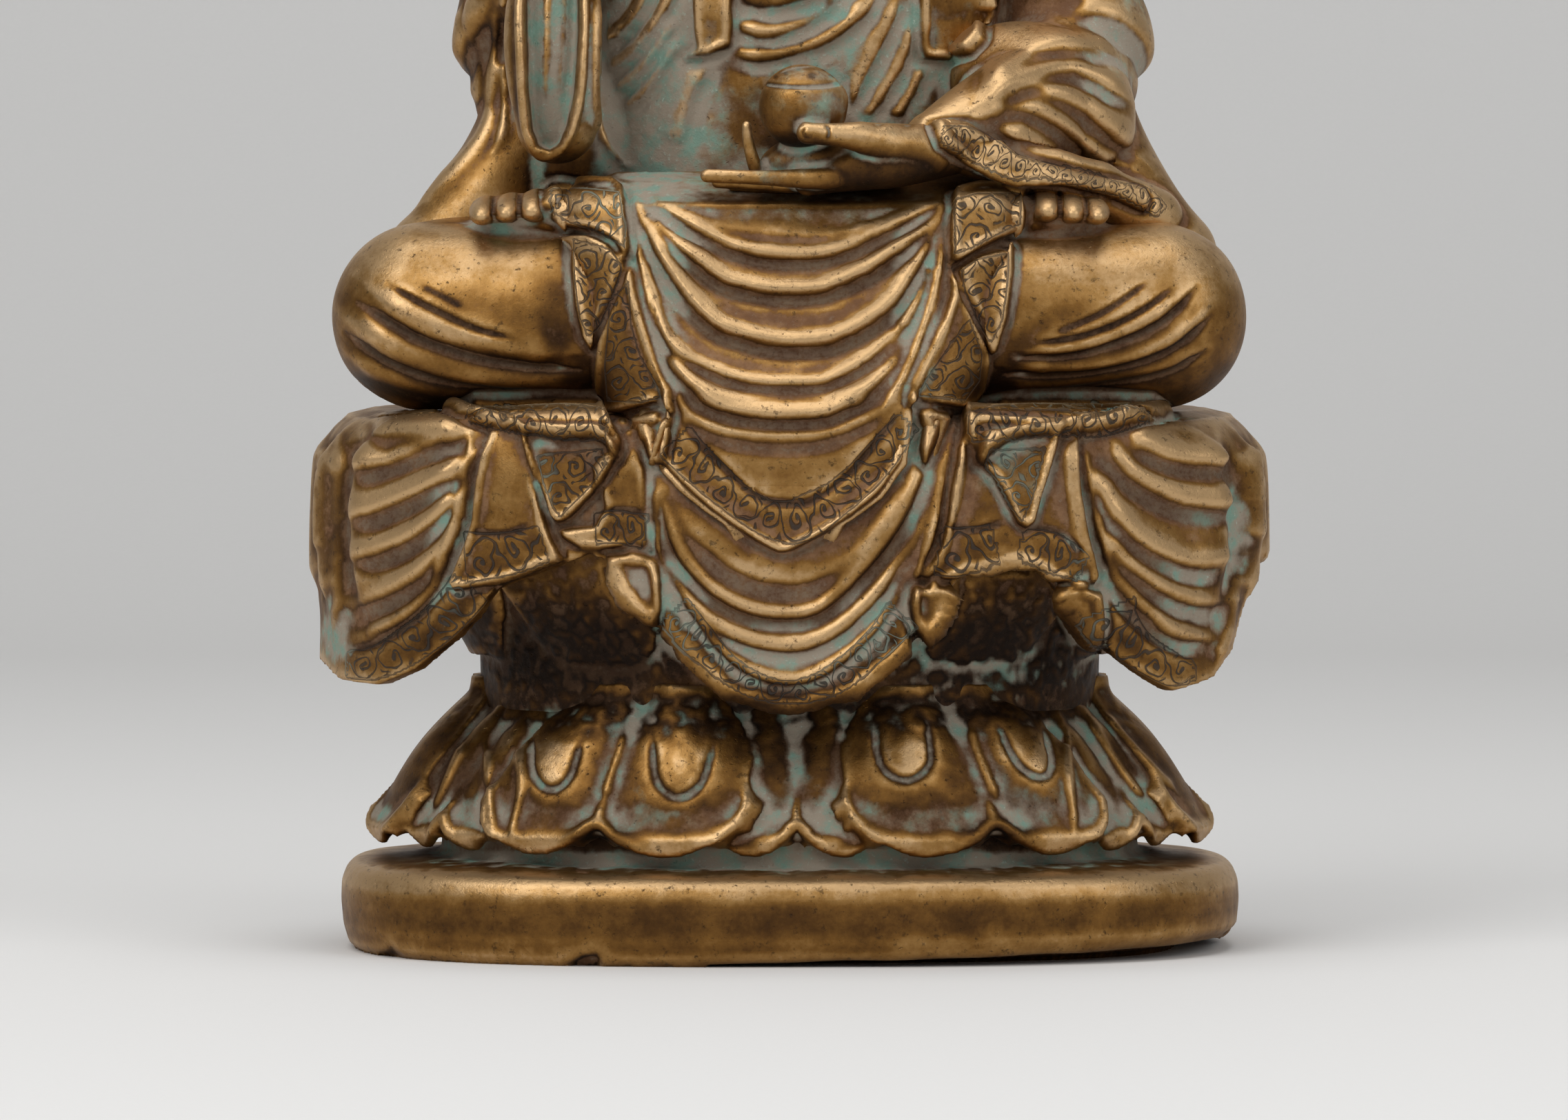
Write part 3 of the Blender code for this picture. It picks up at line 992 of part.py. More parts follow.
def bronze():
    """Brown polished copper alloy."""
    material = bpy.data.materials.new("bronze")
    material.use_nodes = True
    surface = material.node_tree.nodes["Principled BSDF"]
    surface.inputs["Base Color"].default_value = (0.23, 0.135, 0.06, 1.0)
    surface.inputs["Metallic"].default_value = 0.85
    surface.inputs["Roughness"].default_value = 0.42
    material.diffuse_color = (0.23, 0.135, 0.06, 1.0)
    return material


def main():
    """Build the casting."""
    clear_scene()
    forms = new_collection("base_forms")
    product = new_collection("copper_master_statue")
    build_plinth(forms)
    build_throne_core(forms)
    build_lotus(forms)
    build_cloth(forms)
    build_legs(forms)
    build_apron(forms)
    build_torso(forms)
    build_arms(forms)
    build_hands(forms)
    build_head(forms)
    skin = remesh(join_forms(forms), forms)
    keep_outer_skin(skin)
    carve(skin)
    casting_mesh = reduce_facets(skin, forms)
    flatten_foot(casting_mesh)
    casting_mesh.name = "statue_casting"
    casting = add_object("statue_casting", casting_mesh, product)
    casting_mesh.materials.clear()
    casting_mesh.materials.append(bronze())
    for item in forms.objects:
        item.hide_render = True
        item.display_type = "WIRE"
        item.hide_set(True)
    return casting


main()
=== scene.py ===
import math

import bpy
import numpy as np
from mathutils import Euler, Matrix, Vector, noise


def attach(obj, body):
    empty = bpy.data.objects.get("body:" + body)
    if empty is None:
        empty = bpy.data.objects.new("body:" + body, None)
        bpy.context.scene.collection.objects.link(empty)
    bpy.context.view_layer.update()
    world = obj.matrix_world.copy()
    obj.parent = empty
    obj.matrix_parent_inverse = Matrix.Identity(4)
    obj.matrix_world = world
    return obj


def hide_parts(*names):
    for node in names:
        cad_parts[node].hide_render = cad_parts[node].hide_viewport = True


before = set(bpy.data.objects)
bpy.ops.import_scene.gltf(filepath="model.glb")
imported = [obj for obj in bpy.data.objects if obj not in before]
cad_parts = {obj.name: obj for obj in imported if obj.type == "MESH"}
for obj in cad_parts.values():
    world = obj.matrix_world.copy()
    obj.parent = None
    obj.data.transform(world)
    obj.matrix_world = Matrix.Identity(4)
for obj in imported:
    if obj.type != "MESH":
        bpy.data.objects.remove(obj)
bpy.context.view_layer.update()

MM = 0.001

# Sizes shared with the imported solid
PLINTH_HALF_WIDTH = 73.8 * MM
PLINTH_HALF_DEPTH = 48.0 * MM
PLINTH_TOP = 14.6 * MM
PLINTH_SQUARENESS = 2.6
RIM_LIFT = 2.4 * MM
FOOT_LEVEL = 0.4 * MM
LOTUS_HEIGHT = 29.0 * MM
WAIST_HALF_WIDTH = 51.0 * MM
WAIST_HALF_DEPTH = 32.0 * MM
PETAL_REACH = 18.0 * MM
PETAL_REACH_DEPTH = 10.4 * MM
PETAL_THICKNESS = 3.4 * MM
PETAL_CUSP = 7.0 * MM
LIP_RADIUS = 0.90 * MM
BOSS_RADII = (2.4 * MM, 2.6 * MM, 4.6 * MM)
BOSS_RISE = 0.1 * MM
BOSS_DROP = 0.34
BOSS_LEAN = -34.0
PETAL_GAP = 3.0 * MM
PETAL_ANGLE = math.radians(21.0)
SMALL_PETAL_ANGLE = math.radians(13.5)
SMALL_PETAL_INSET = 2.6 * MM
PETAL_DIRECTIONS = (0.0, 60.0, 120.0, 180.0, 243.0, 299.0)
THRONE_RISE = 44.4 * MM
SEAT_HALF_WIDTH = 73.0 * MM
SEAT_HALF_DEPTH = 47.0 * MM
UPPER_PETAL_COUNT = 10
CLOTH_HALF_WIDTH = 77.2 * MM
CLOTH_HALF_DEPTH = 49.5 * MM
CLOTH_SQUARENESS = 2.6
CLOTH_THICKNESS = 3.6 * MM
CLOTH_BACK_EDGE = 14.0 * MM
KNEE_REACH = 59.0 * MM
KNEE_RISE = 15.8 * MM
KNEE_RADIUS = 15.2 * MM
APRON_HALF_WIDTH = 35.0 * MM
APRON_SQUARENESS = 3.8
TORSO_HALF_WIDTH = 35.0 * MM
TORSO_HALF_DEPTH = 23.0 * MM
SHOULDER_REACH = 40.0 * MM
ARM_RADIUS = 11.6 * MM
HEAD_HALF_WIDTH = 17.0 * MM
HEAD_HALF_HEIGHT = 21.0 * MM
POT_RADIUS = 7.0 * MM
FINGER_RADIUS = 1.9 * MM
TOE_RADIUS = 2.3 * MM

WAIST_Z = PLINTH_TOP + LOTUS_HEIGHT
SEAT_Z = WAIST_Z + THRONE_RISE
LAP_Z = SEAT_Z + 35.0 * MM
ELBOW_Z = SEAT_Z + 56.0 * MM
SHOULDER_Z = SEAT_Z + 103.0 * MM
HEAD_Z = 254.7 * MM - 1.034 * HEAD_HALF_HEIGHT
FRONT_PLANE = -PLINTH_HALF_DEPTH

# The camera that the photo was taken with
EYE_DISTANCE = 1500.0 * MM
EYE_HEIGHT = 130.0 * MM
PICTURE_WIDTH = 250.14 * MM
PICTURE_CENTRE_X = -0.9 * MM
PICTURE_CENTRE_Z = 65.37 * MM
SENSOR_WIDTH = 36.0
CLIP_RANGE = (0.05, 20.0)

# Pieces: fusing cell in millimetres, smoothing passes and most triangles
CELL = {
    "throne_base": 0.60, "throne_cloth": 0.52, "legs_and_apron": 0.50, "body_and_arms": 0.60, "pot_hand": 0.34,
    "raised_hand": 0.45, "head": 0.50,
}
SOFTENING = 2
HEAD_SOFTENING = 10
MOST_TRIANGLES = 190000

# How finely the closed forms are drawn, where a radius is large and where it isn't
LARGE_RADIUS = 6.0 * MM
FINE_SIDES = 120
COARSE_SIDES = 36
FINE_STEPS = 24
COARSE_STEPS = 10
LINE_STEPS = 6
PETAL_GRID = (28, 49)
UPPER_PETAL_GRID = (20, 25)
CLOTH_GRID = (36, 361)
LOFT_SIDES = 240
PLINTH_SIDES = 360
POLE_ANGLE = 0.495 * math.pi
CORE_SQUARENESS = 2.3
TORSO_SQUARENESS = 2.2

# Grid on which the frontmost skin is found, and how far behind it a point still counts as seen
SIGHT_CELL = 1.6 * MM
SIGHT_DEPTH = 4.0 * MM

# Heights of a bump above its near and its wider surroundings that count as full relief
NEAR_RELIEF = 0.055 * MM
NEAR_PASSES = 8
WIDE_RELIEF = 0.38 * MM
WIDE_PASSES = 60

# Studio: lamps as (name, place, target height, size, watts), world light and paper
LAMPS = (
    ("key_lamp", (-0.75, -0.95, 1.05), 0.10, (0.9, 0.7), 8.0),
    ("fill_lamp", (0.95, -0.85, 0.75), 0.10, (0.8, 0.8), 4.0),
    ("top_lamp", (0.0, -0.15, 1.35), 0.10, (1.0, 0.8), 6.5),
    ("front_lamp", (0.0, -1.55, 0.85), 0.12, (1.8, 1.0), 3.4),
)
WORLD_COLOUR = (0.92, 0.92, 0.92, 1.0)
WORLD_STRENGTH = 0.30
PAPER_COLOUR = (0.80, 0.795, 0.785, 1.0)
PAPER_ROUGHNESS = 0.9
FLOOR_HALF_WIDTH = 3.0
FLOOR_FRONT = -2.2
FLOOR_BEND_START = 0.9
FLOOR_BEND_RADIUS = 0.5
BACKDROP_HEIGHT = 3.0

# How deep a pit or a chased line looks where the shader's height falls by 1
BUMP_DEPTH = 0.16 * MM


class Forms:
    """Closed solids that overlap and are fused into one skin."""

    def __init__(self):
        self.points = []
        self.faces = []
        self.count = 0

    def add(self, points, faces):
        """Add one closed solid."""
        self.points.append(np.asarray(points, dtype=float))
        self.faces.extend(tuple(i + self.count for i in face) for face in faces)
        self.count += len(points)

    def rings(self, rows):
        """Skin closed rings of points, with flat ends."""
        sides = len(rows[0])
        faces = []
        for r in range(len(rows) - 1):
            for k in range(sides):
                a = r * sides + k
                b = r * sides + (k + 1) % sides
                faces.append((a, b, b + sides, a + sides))
        top = (len(rows) - 1) * sides
        faces.append(tuple(reversed(range(sides))))
        faces.append(tuple(range(top, top + sides)))
        self.add([point for row in rows for point in row], faces)

    def loft(self, levels, squareness):
        """Skin superellipse rings (z, half x, half y, centre y)."""
        rows = []
        for z, half_x, half_y, centre_y in levels:
            ring = [oval(half_x, half_y, squareness, angle) for angle in full_turn(LOFT_SIDES)]
            rows.append([(x, centre_y + y, z) for x, y in ring])
        self.rings(rows)

    def blob(self, centre, radii, turn=(0.0, 0.0, 0.0)):
        """Add an ellipsoid with its own turn."""
        spin = np.array(Euler([math.radians(a) for a in turn]).to_matrix())
        sides = FINE_SIDES if max(radii) > LARGE_RADIUS else COARSE_SIDES
        rows = []
        for latitude in np.linspace(-POLE_ANGLE, POLE_ANGLE, sides * 2 // 3):
            ring = math.cos(latitude)
            row = []
            for angle in full_turn(sides):
                local = np.array((ring * math.cos(angle), ring * math.sin(angle), math.sin(latitude))) * radii
                row.append(tuple(spin @ local + np.array(centre)))
            rows.append(row)
        self.rings(rows)

    def limb(self, stations):
        """Add a round tube with ball ends through stations (x, y, z, radius)."""
        large = max(station[3] for station in stations) > LARGE_RADIUS
        sides = FINE_SIDES if large else COARSE_SIDES
        path = b_spline(stations, FINE_STEPS if large else COARSE_STEPS)
        along = np.gradient(path[:, :3], axis=0)
        along /= np.linalg.norm(along, axis=1)[:, None]
        side = np.cross(along[0], (0.0, 0.0, 1.0) if abs(along[0][2]) < 0.9 else (0.0, 1.0, 0.0))
        rows = []
        for point, direction in zip(path, along):
            side = side - direction * np.dot(side, direction)
            side /= np.linalg.norm(side)
            other = np.cross(direction, side)
            rows.append([tuple(point[:3] + point[3] * (math.cos(angle) * side + math.sin(angle) * other))
                         for angle in full_turn(sides)])
        self.rings(rows)
        for x, y, z, radius in (stations[0], stations[-1]):
            self.blob((x, y, z), (radius, radius, radius))

    def sheet(self, rows, thickness):
        """Thicken a grid of points toward the middle axis."""
        grid = np.array(rows)
        across = np.gradient(grid, axis=1)
        down = np.gradient(grid, axis=0)
        normal = np.cross(across, down)
        normal /= np.linalg.norm(normal, axis=2)[:, :, None] + 1e-12
        outward = np.sum(normal[:, :, :2] * grid[:, :, :2])
        if outward < 0.0:
            normal = -normal
        inner = grid - normal * thickness
        height, width = grid.shape[:2]
        total = height * width
        faces = []
        for r in range(height - 1):
            for k in range(width - 1):
                a = r * width + k
                faces.append((a, a + 1, a + 1 + width, a + width))
                faces.append((a + total, a + width + total, a + 1 + width + total, a + 1 + total))
        border = list(range(width))
        border += [r * width + width - 1 for r in range(1, height)]
        border += [(height - 1) * width + k for k in range(width - 2, -1, -1)]
        border += [r * width for r in range(height - 2, 0, -1)]
        for a, b in zip(border, border[1:] + border[:1]):
            faces.append((b, a, a + total, b + total))
        self.add(np.concatenate([grid.reshape(-1, 3), inner.reshape(-1, 3)]), faces)


def full_turn(sides):
    """Return the angles of the corners of a closed ring."""
    return [2.0 * math.pi * k / sides for k in range(sides)]


def oval(half_x, half_y, squareness, angle):
    """Return the point of a superellipse at an angle from +X."""
    c = math.cos(angle)
    s = math.sin(angle)
    x = half_x * math.copysign(abs(c) ** (2.0 / squareness), c)
    y = half_y * math.copysign(abs(s) ** (2.0 / squareness), s)
    return x, y


def b_spline(stations, per_span):
    """Sample a quadratic B-spline that meets its first and last station."""
    p = np.array(stations, dtype=float)
    if len(p) == 2:
        t = np.linspace(0.0, 1.0, 6)[:, None]
        return p[0] * (1.0 - t) + p[1] * t
    out = []
    for i in range(len(p) - 2):
        start = p[0] if i == 0 else 0.5 * (p[i] + p[i + 1])
        end = p[-1] if i == len(p) - 3 else 0.5 * (p[i + 1] + p[i + 2])
        for t in np.linspace(0.0, 1.0, per_span, endpoint=False):
            out.append((1 - t) ** 2 * start + 2 * t * (1 - t) * p[i + 1] + t * t * end)
    out.append(p[-1])
    return np.array(out)


def mirrored(stations, side):
    """Mirror stations across the middle plane when side is -1."""
    return [(side * s[0], *s[1:]) for s in stations]


def size(*values):
    """Turn millimetres into metres."""
    return tuple(value * MM for value in values)


def placed(rows, x, z, radius):
    """Return limb stations from rows of (x, y, z) in millimetres past x and z and a share of the radius."""
    return [(x + right * MM, back * MM, z + up * MM, radius * share) for right, back, up, share in rows]


def levels(rows, z, wide, deep):
    """Return loft levels from rows of (rise in millimetres, share of wide, share of deep, y in millimetres)."""
    return [(z + rise * MM, wide * share_x, deep * share_y, back * MM) for rise, share_x, share_y, back in rows]


def smooth_line(points):
    """Return a Catmull-Rom curve through the points of a table row."""
    p = np.array(points, dtype=float)
    if len(p) < 3:
        return p
    ends = np.vstack([2 * p[0] - p[1], p, 2 * p[-1] - p[-2]])
    out = []
    for i in range(1, len(ends) - 2):
        a, b, c, d = ends[i - 1], ends[i], ends[i + 1], ends[i + 2]
        for t in np.linspace(0.0, 1.0, LINE_STEPS, endpoint=False):
            out.append(0.5 * (2 * b + (c - a) * t + (2 * a - 5 * b + 4 * c - d) * t * t
                              + (3 * b - a - 3 * c + d) * t * t * t))
    out.append(p[-1])
    return np.array(out)


def build_plinth(forms):
    """Make the oval block with its rounded top edge and its uneven foot."""
    profile = (
        (0.0, -2.6, -2.0), (1.0, -1.3, -1.0), (4.0, -0.4, -0.2), (8.0, 0.0, 0.0), (11.2, -0.1, -0.1),
        (13.2, -0.9, -0.8), (14.2, -2.0, -1.9), (14.7, -4.0, -3.6), (15.0, -9.0, -6.6), (15.6, -18.0, -13.0),
    )
    drawn_top = 14.7
    foot = 1.5
    rows = []
    for z, dx, dy in profile:
        row = []
        for angle in full_turn(PLINTH_SIDES):
            x, y = oval(PLINTH_HALF_WIDTH + dx * MM, PLINTH_HALF_DEPTH + dy * MM, PLINTH_SQUARENESS, angle)
            lift = 0.0
            if z < foot:
                share = min(1.0, max(0.0, (x / PLINTH_HALF_WIDTH + 0.45) / 1.45))
                lift = RIM_LIFT * share * (1.0 if y < 0.0 else 0.35)
            row.append((x, y, z / drawn_top * PLINTH_TOP + lift))
        rows.append(row)
    forms.rings(rows)
    forms.loft([(z * MM, PLINTH_HALF_WIDTH - inset * MM, PLINTH_HALF_DEPTH - inset * MM, 0.0)
                for z, inset in ((0.0, 10.5), (7.3, 7.5))], PLINTH_SQUARENESS)


def build_throne_foot(forms):
    """Make the lower part of the throne's waisted core."""
    stations = (
        (0.72, 0.0, 7.0, 5.0), (1.0, 6.0, 6.0, 4.5), (1.0, 14.0, 3.5, 2.5), (1.0, 24.0, 0.5, 0.5),
        (1.0, 26.5, -1.5, -1.5),
    )
    forms.loft([(PLINTH_TOP * share + rise * MM, WAIST_HALF_WIDTH + dx * MM, WAIST_HALF_DEPTH + dy * MM, 0.0)
                for share, rise, dx, dy in stations], CORE_SQUARENESS)


def build_throne_seat(forms):
    """Make the upper part of the throne's core, which flares out to the seat."""
    waist = ((-12.0, 1.2, 0.6), (-5.0, -0.3, -0.4), (-2.0, -0.3, -0.3))
    rings = [(WAIST_Z + rise * MM, WAIST_HALF_WIDTH + dx * MM, WAIST_HALF_DEPTH + dy * MM, 0.0)
             for rise, dx, dy in waist]
    flare = (
        (0.16, 0.0, 0.0), (0.30, 0.06, 0.10), (0.52, 0.26, 0.35), (0.72, 0.48, 0.62), (0.84, 0.75, 0.85),
        (0.93, 0.97, 1.0), (0.985, 1.0, 1.0), (1.01, 0.80, 0.78),
    )
    for share, wide, deep in flare:
        half_x = WAIST_HALF_WIDTH + wide * (SEAT_HALF_WIDTH - WAIST_HALF_WIDTH)
        half_y = WAIST_HALF_DEPTH + deep * (SEAT_HALF_DEPTH - WAIST_HALF_DEPTH)
        rings.append((WAIST_Z + share * THRONE_RISE, half_x, half_y, 0.0))
    forms.loft(rings, CORE_SQUARENESS)


def petal_curve(t):
    """Return how far a petal has swung out, from 0 at the waist to 1 at the tip."""
    share = min(1.0, max(0.0, (t - 0.10) / 0.82))
    return 0.5 * (share + math.sin(0.5 * math.pi * share)) - 0.10 * max(0.0, t - 0.92) / 0.08


def build_petal(forms, angle, half_angle, inset):
    """Make one double-lobed petal that hangs from the waist over the plinth."""
    rows = []
    top = WAIST_Z + 1.0 * MM
    tip = PLINTH_TOP + PETAL_GAP
    for v in np.linspace(0.0, 1.0, PETAL_GRID[0]):
        row = []
        for u in np.linspace(-1.0, 1.0, PETAL_GRID[1]):
            lobe = abs(math.sin(math.pi * u)) ** 0.5
            edge = tip + PETAL_CUSP * (1.0 - lobe) * (1.0 if abs(u) < 0.5 else 1.25)
            z = top + (edge - top) * v
            t = (top - z) / (top - tip)
            out = petal_curve(t)
            bulge = 2.2 * MM * abs(math.sin(math.pi * u)) * math.sin(math.pi * min(1.0, 0.25 + t))
            rim = 1.1 * MM * max(0.0, (v - 0.86) / 0.14)
            wide = half_angle * (0.62 + 0.38 * math.sin(0.5 * math.pi * min(1.0, v * 1.5)))
            half_x = WAIST_HALF_WIDTH + out * PETAL_REACH + bulge + rim - inset
            half_y = WAIST_HALF_DEPTH + out * PETAL_REACH_DEPTH + bulge + rim - inset
            spot = angle + u * wide
            row.append((half_x * math.cos(spot), half_y * math.sin(spot), z))
        rows.append(row)
    forms.sheet(rows, PETAL_THICKNESS)
    lip = []
    edge_points = rows[-1][3:-3:2]
    for k, (x, y, z) in enumerate(edge_points):
        fade = min(1.0, 0.15 + 0.2 * min(k, len(edge_points) - 1 - k))
        lip.append((x * 0.992, y * 0.985, z + 0.3 * MM, LIP_RADIUS * fade))
    forms.limb(lip)


def build_upper_petal(forms, angle):
    """Make one plain petal that opens upward to the seat."""
    rows = []
    bottom = WAIST_Z + 0.10 * THRONE_RISE
    top = WAIST_Z + 0.80 * THRONE_RISE
    half_angle = math.pi / UPPER_PETAL_COUNT
    for v in np.linspace(0.0, 1.0, UPPER_PETAL_GRID[0]):
        row = []
        for u in np.linspace(-1.0, 1.0, UPPER_PETAL_GRID[1]):
            wide = half_angle * (0.55 + 0.45 * math.sin(math.pi * min(0.5, v * 0.8)))
            z = bottom + (top - bottom) * v * (1.0 - 0.22 * u * u)
            belly = 1.6 * MM * (1.0 - u * u) * math.sin(math.pi * (0.15 + 0.75 * v))
            grow = 0.08 + 0.52 * v
            half_x = WAIST_HALF_WIDTH + grow * (SEAT_HALF_WIDTH - WAIST_HALF_WIDTH) + belly
            half_y = WAIST_HALF_DEPTH + grow * (SEAT_HALF_DEPTH - WAIST_HALF_DEPTH) + belly
            spot = angle + u * wide
            row.append((half_x * math.cos(spot), half_y * math.sin(spot), z))
        rows.append(row)
    forms.sheet(rows, PETAL_THICKNESS)


def build_lotus(forms):
    """Set both rings of hanging petals and the raised ovals on their lobes."""
    turns = [math.radians(direction) for direction in PETAL_DIRECTIONS]
    for k, angle in enumerate(turns):
        after = turns[k + 1] if k + 1 < len(turns) else turns[0] + 2.0 * math.pi
        build_petal(forms, angle, PETAL_ANGLE, 0.0)
        build_petal(forms, 0.5 * (angle + after), SMALL_PETAL_ANGLE, SMALL_PETAL_INSET)
        for side in (-1.0, 1.0):
            spot = angle + side * PETAL_ANGLE * 0.50
            out = petal_curve(BOSS_DROP)
            x = (WAIST_HALF_WIDTH + out * PETAL_REACH + BOSS_RISE) * math.cos(spot)
            y = (WAIST_HALF_DEPTH + out * PETAL_REACH_DEPTH + BOSS_RISE) * math.sin(spot)
            z = WAIST_Z - BOSS_DROP * LOTUS_HEIGHT
            forms.blob((x, y, z), BOSS_RADII, (0.0, BOSS_LEAN, math.degrees(spot)))


# Lower edge of the hanging cloth, (x, height), from the left end to the right end
CLOTH_HEM = (
    (-79, 60), (-76.5, 56), (-75.5, 50), (-72, 46.2), (-66, 45.4), (-60, 47.8), (-54, 52.5), (-50.5, 56),
    (-47.5, 60.5), (-42, 62.6), (-36, 64.8), (-32, 66.5), (-29, 65.0), (-26.5, 59.5), (-24, 56.2), (-21.6, 55),
    (-20, 54.6), (-16, 49.6), (-12, 45.6), (-8, 43.0), (-4, 41.4), (0, 40.8), (4, 41.4), (8, 43.0), (13, 46.3),
    (17, 50.0), (20.6, 53.0), (23.6, 54.2), (25.2, 60.0), (28, 63.4), (33, 64.4), (36.5, 65.4), (41, 62.8),
    (45, 58.0), (47.5, 54.4), (50.5, 51.4), (56, 47.4), (61.5, 44.4), (65.5, 45.6), (68, 46.6), (70.8, 51.0),
    (72.5, 57.0), (74, 65), (77, 69),
)


def build_cloth(forms):
    """Hang the cloth over the front and the sides of the seat."""
    hem_x = [p[0] * MM for p in CLOTH_HEM]
    hem_z = [p[1] * MM for p in CLOTH_HEM]
    edge = math.asin(min(1.0, (CLOTH_BACK_EDGE / CLOTH_HALF_DEPTH) ** (CLOTH_SQUARENESS / 2.0)))
    top = SEAT_Z - 0.6 * MM
    rows = []
    for v in np.linspace(0.0, 1.0, CLOTH_GRID[0]):
        row = []
        for angle in np.linspace(math.pi - edge, 2.0 * math.pi + edge, CLOTH_GRID[1]):
            x, y = oval(CLOTH_HALF_WIDTH, CLOTH_HALF_DEPTH, CLOTH_SQUARENESS, angle)
            shrink = 1.0 + (y - FRONT_PLANE) / EYE_DISTANCE
            bottom = EYE_HEIGHT + (float(np.interp(x / shrink, hem_x, hem_z)) - EYE_HEIGHT) * shrink
            z = top + (bottom - top) * v
            keep = 1.0 - 5.0 * MM * math.exp(-((top - z) / (3.2 * MM))) / CLOTH_HALF_WIDTH
            row.append((x * keep, y * keep, z))
        rows.append(row)
    forms.sheet(rows, CLOTH_THICKNESS)


def build_legs(forms):
    """Cross the covered legs in front of the body, with the toes on the thighs."""
    knee_z = SEAT_Z + KNEE_RISE
    for side in (-1, 1):
        shin = placed(((0, -21, 0, 1.0), (-15, -25, 0, 0.97), (-31, -27, -0.5, 0.93)), KNEE_REACH, knee_z, KNEE_RADIUS)
        shin += placed(((0, -27, -1.5, 0.9),), 0.0, knee_z, KNEE_RADIUS)
        thigh = placed(((0, -21, 0, 1.0), (-14, -8, 1.0, 1.08)), KNEE_REACH, knee_z, KNEE_RADIUS)
        thigh += placed(((18, 9, 3.0, 1.2),), 0.0, knee_z, KNEE_RADIUS)
        forms.limb(mirrored(shin, side))
        forms.limb(mirrored(thigh, side))
        foot_z = knee_z + KNEE_RADIUS + 1.2 * MM
        forms.blob((side * 37 * MM, -23 * MM, foot_z - 0.6 * MM), size(14.5, 11, 3.6),
                   (0, side * 4.0, side * 6.0))
        for x, rise, wide, high in ((40.9, 1.6, 1.28, 1.10), (45.0, 1.2, 1.16, 1.00), (49.0, 0.8, 1.12, 0.96)):
            forms.blob((side * x * MM, -30 * MM, foot_z + rise * MM),
                       (TOE_RADIUS * wide, 7.0 * MM, TOE_RADIUS * high), (10.0, 0.0, side * 6.0))
        forms.blob((side * 45.2 * MM, -28.6 * MM, foot_z + 1.1 * MM), size(6.4, 6.6, 2.2),
                   (10.0, side * 5.0, side * 6.0))
    forms.blob((0.0, 10 * MM, SEAT_Z + 15 * MM), size(46, 27, 20))
    forms.blob((0.0, -17 * MM, SEAT_Z + 20 * MM), size(37, 22, 14.5))


def build_apron(forms):
    """Make the cloth that falls over the crossed legs."""
    upper = (
        (4.2, 0.80, 2.5, -21), (2.6, 0.92, 6.5, -24), (-1.0, 1.03, 13.5, -25.5), (-8.0, 1.02, 18.0, -25),
        (-18.0, 0.98, 20.5, -25), (-26.0, 0.93, 22.5, -25),
    )
    lower = ((3.0, 0.84, 24.5, -25), (-4.0, 0.76, 25.0, -25), (-10.0, 0.70, 24.5, -25), (-17.0, 0.62, 20.0, -28))
    forms.loft(levels(upper, LAP_Z, APRON_HALF_WIDTH, MM) + levels(lower, SEAT_Z, APRON_HALF_WIDTH, MM),
               APRON_SQUARENESS)
    forms.blob((0.0, -13 * MM, LAP_Z - 0.6 * MM), size(31, 13, 4.6))


def build_torso(forms):
    """Make the robed body from the hips to the shoulders."""
    lower = ((6, 1.05, 1.15, 5), (34, 0.98, 1.04, 3), (50, 0.97, 0.98, 2), (66, 1.02, 1.0, 2))
    upper = ((-22, 1.12, 0.98, 3), (-8, 1.15, 0.86, 4), (1, 1.02, 0.74, 4), (7, 0.70, 0.62, 4), (12, 0.40, 0.52, 3))
    forms.loft(levels(lower, SEAT_Z, TORSO_HALF_WIDTH, TORSO_HALF_DEPTH)
               + levels(upper, SHOULDER_Z, TORSO_HALF_WIDTH, TORSO_HALF_DEPTH), TORSO_SQUARENESS)
    collar = ((-20, -12.5, -16, 4.0), (-13, -8, 3, 3.8), (0, 12, 13, 4.2), (13, -8, 3, 3.8), (4, -18.5, -16, 3.4))
    forms.limb(placed(collar, 0.0, SHOULDER_Z, MM))


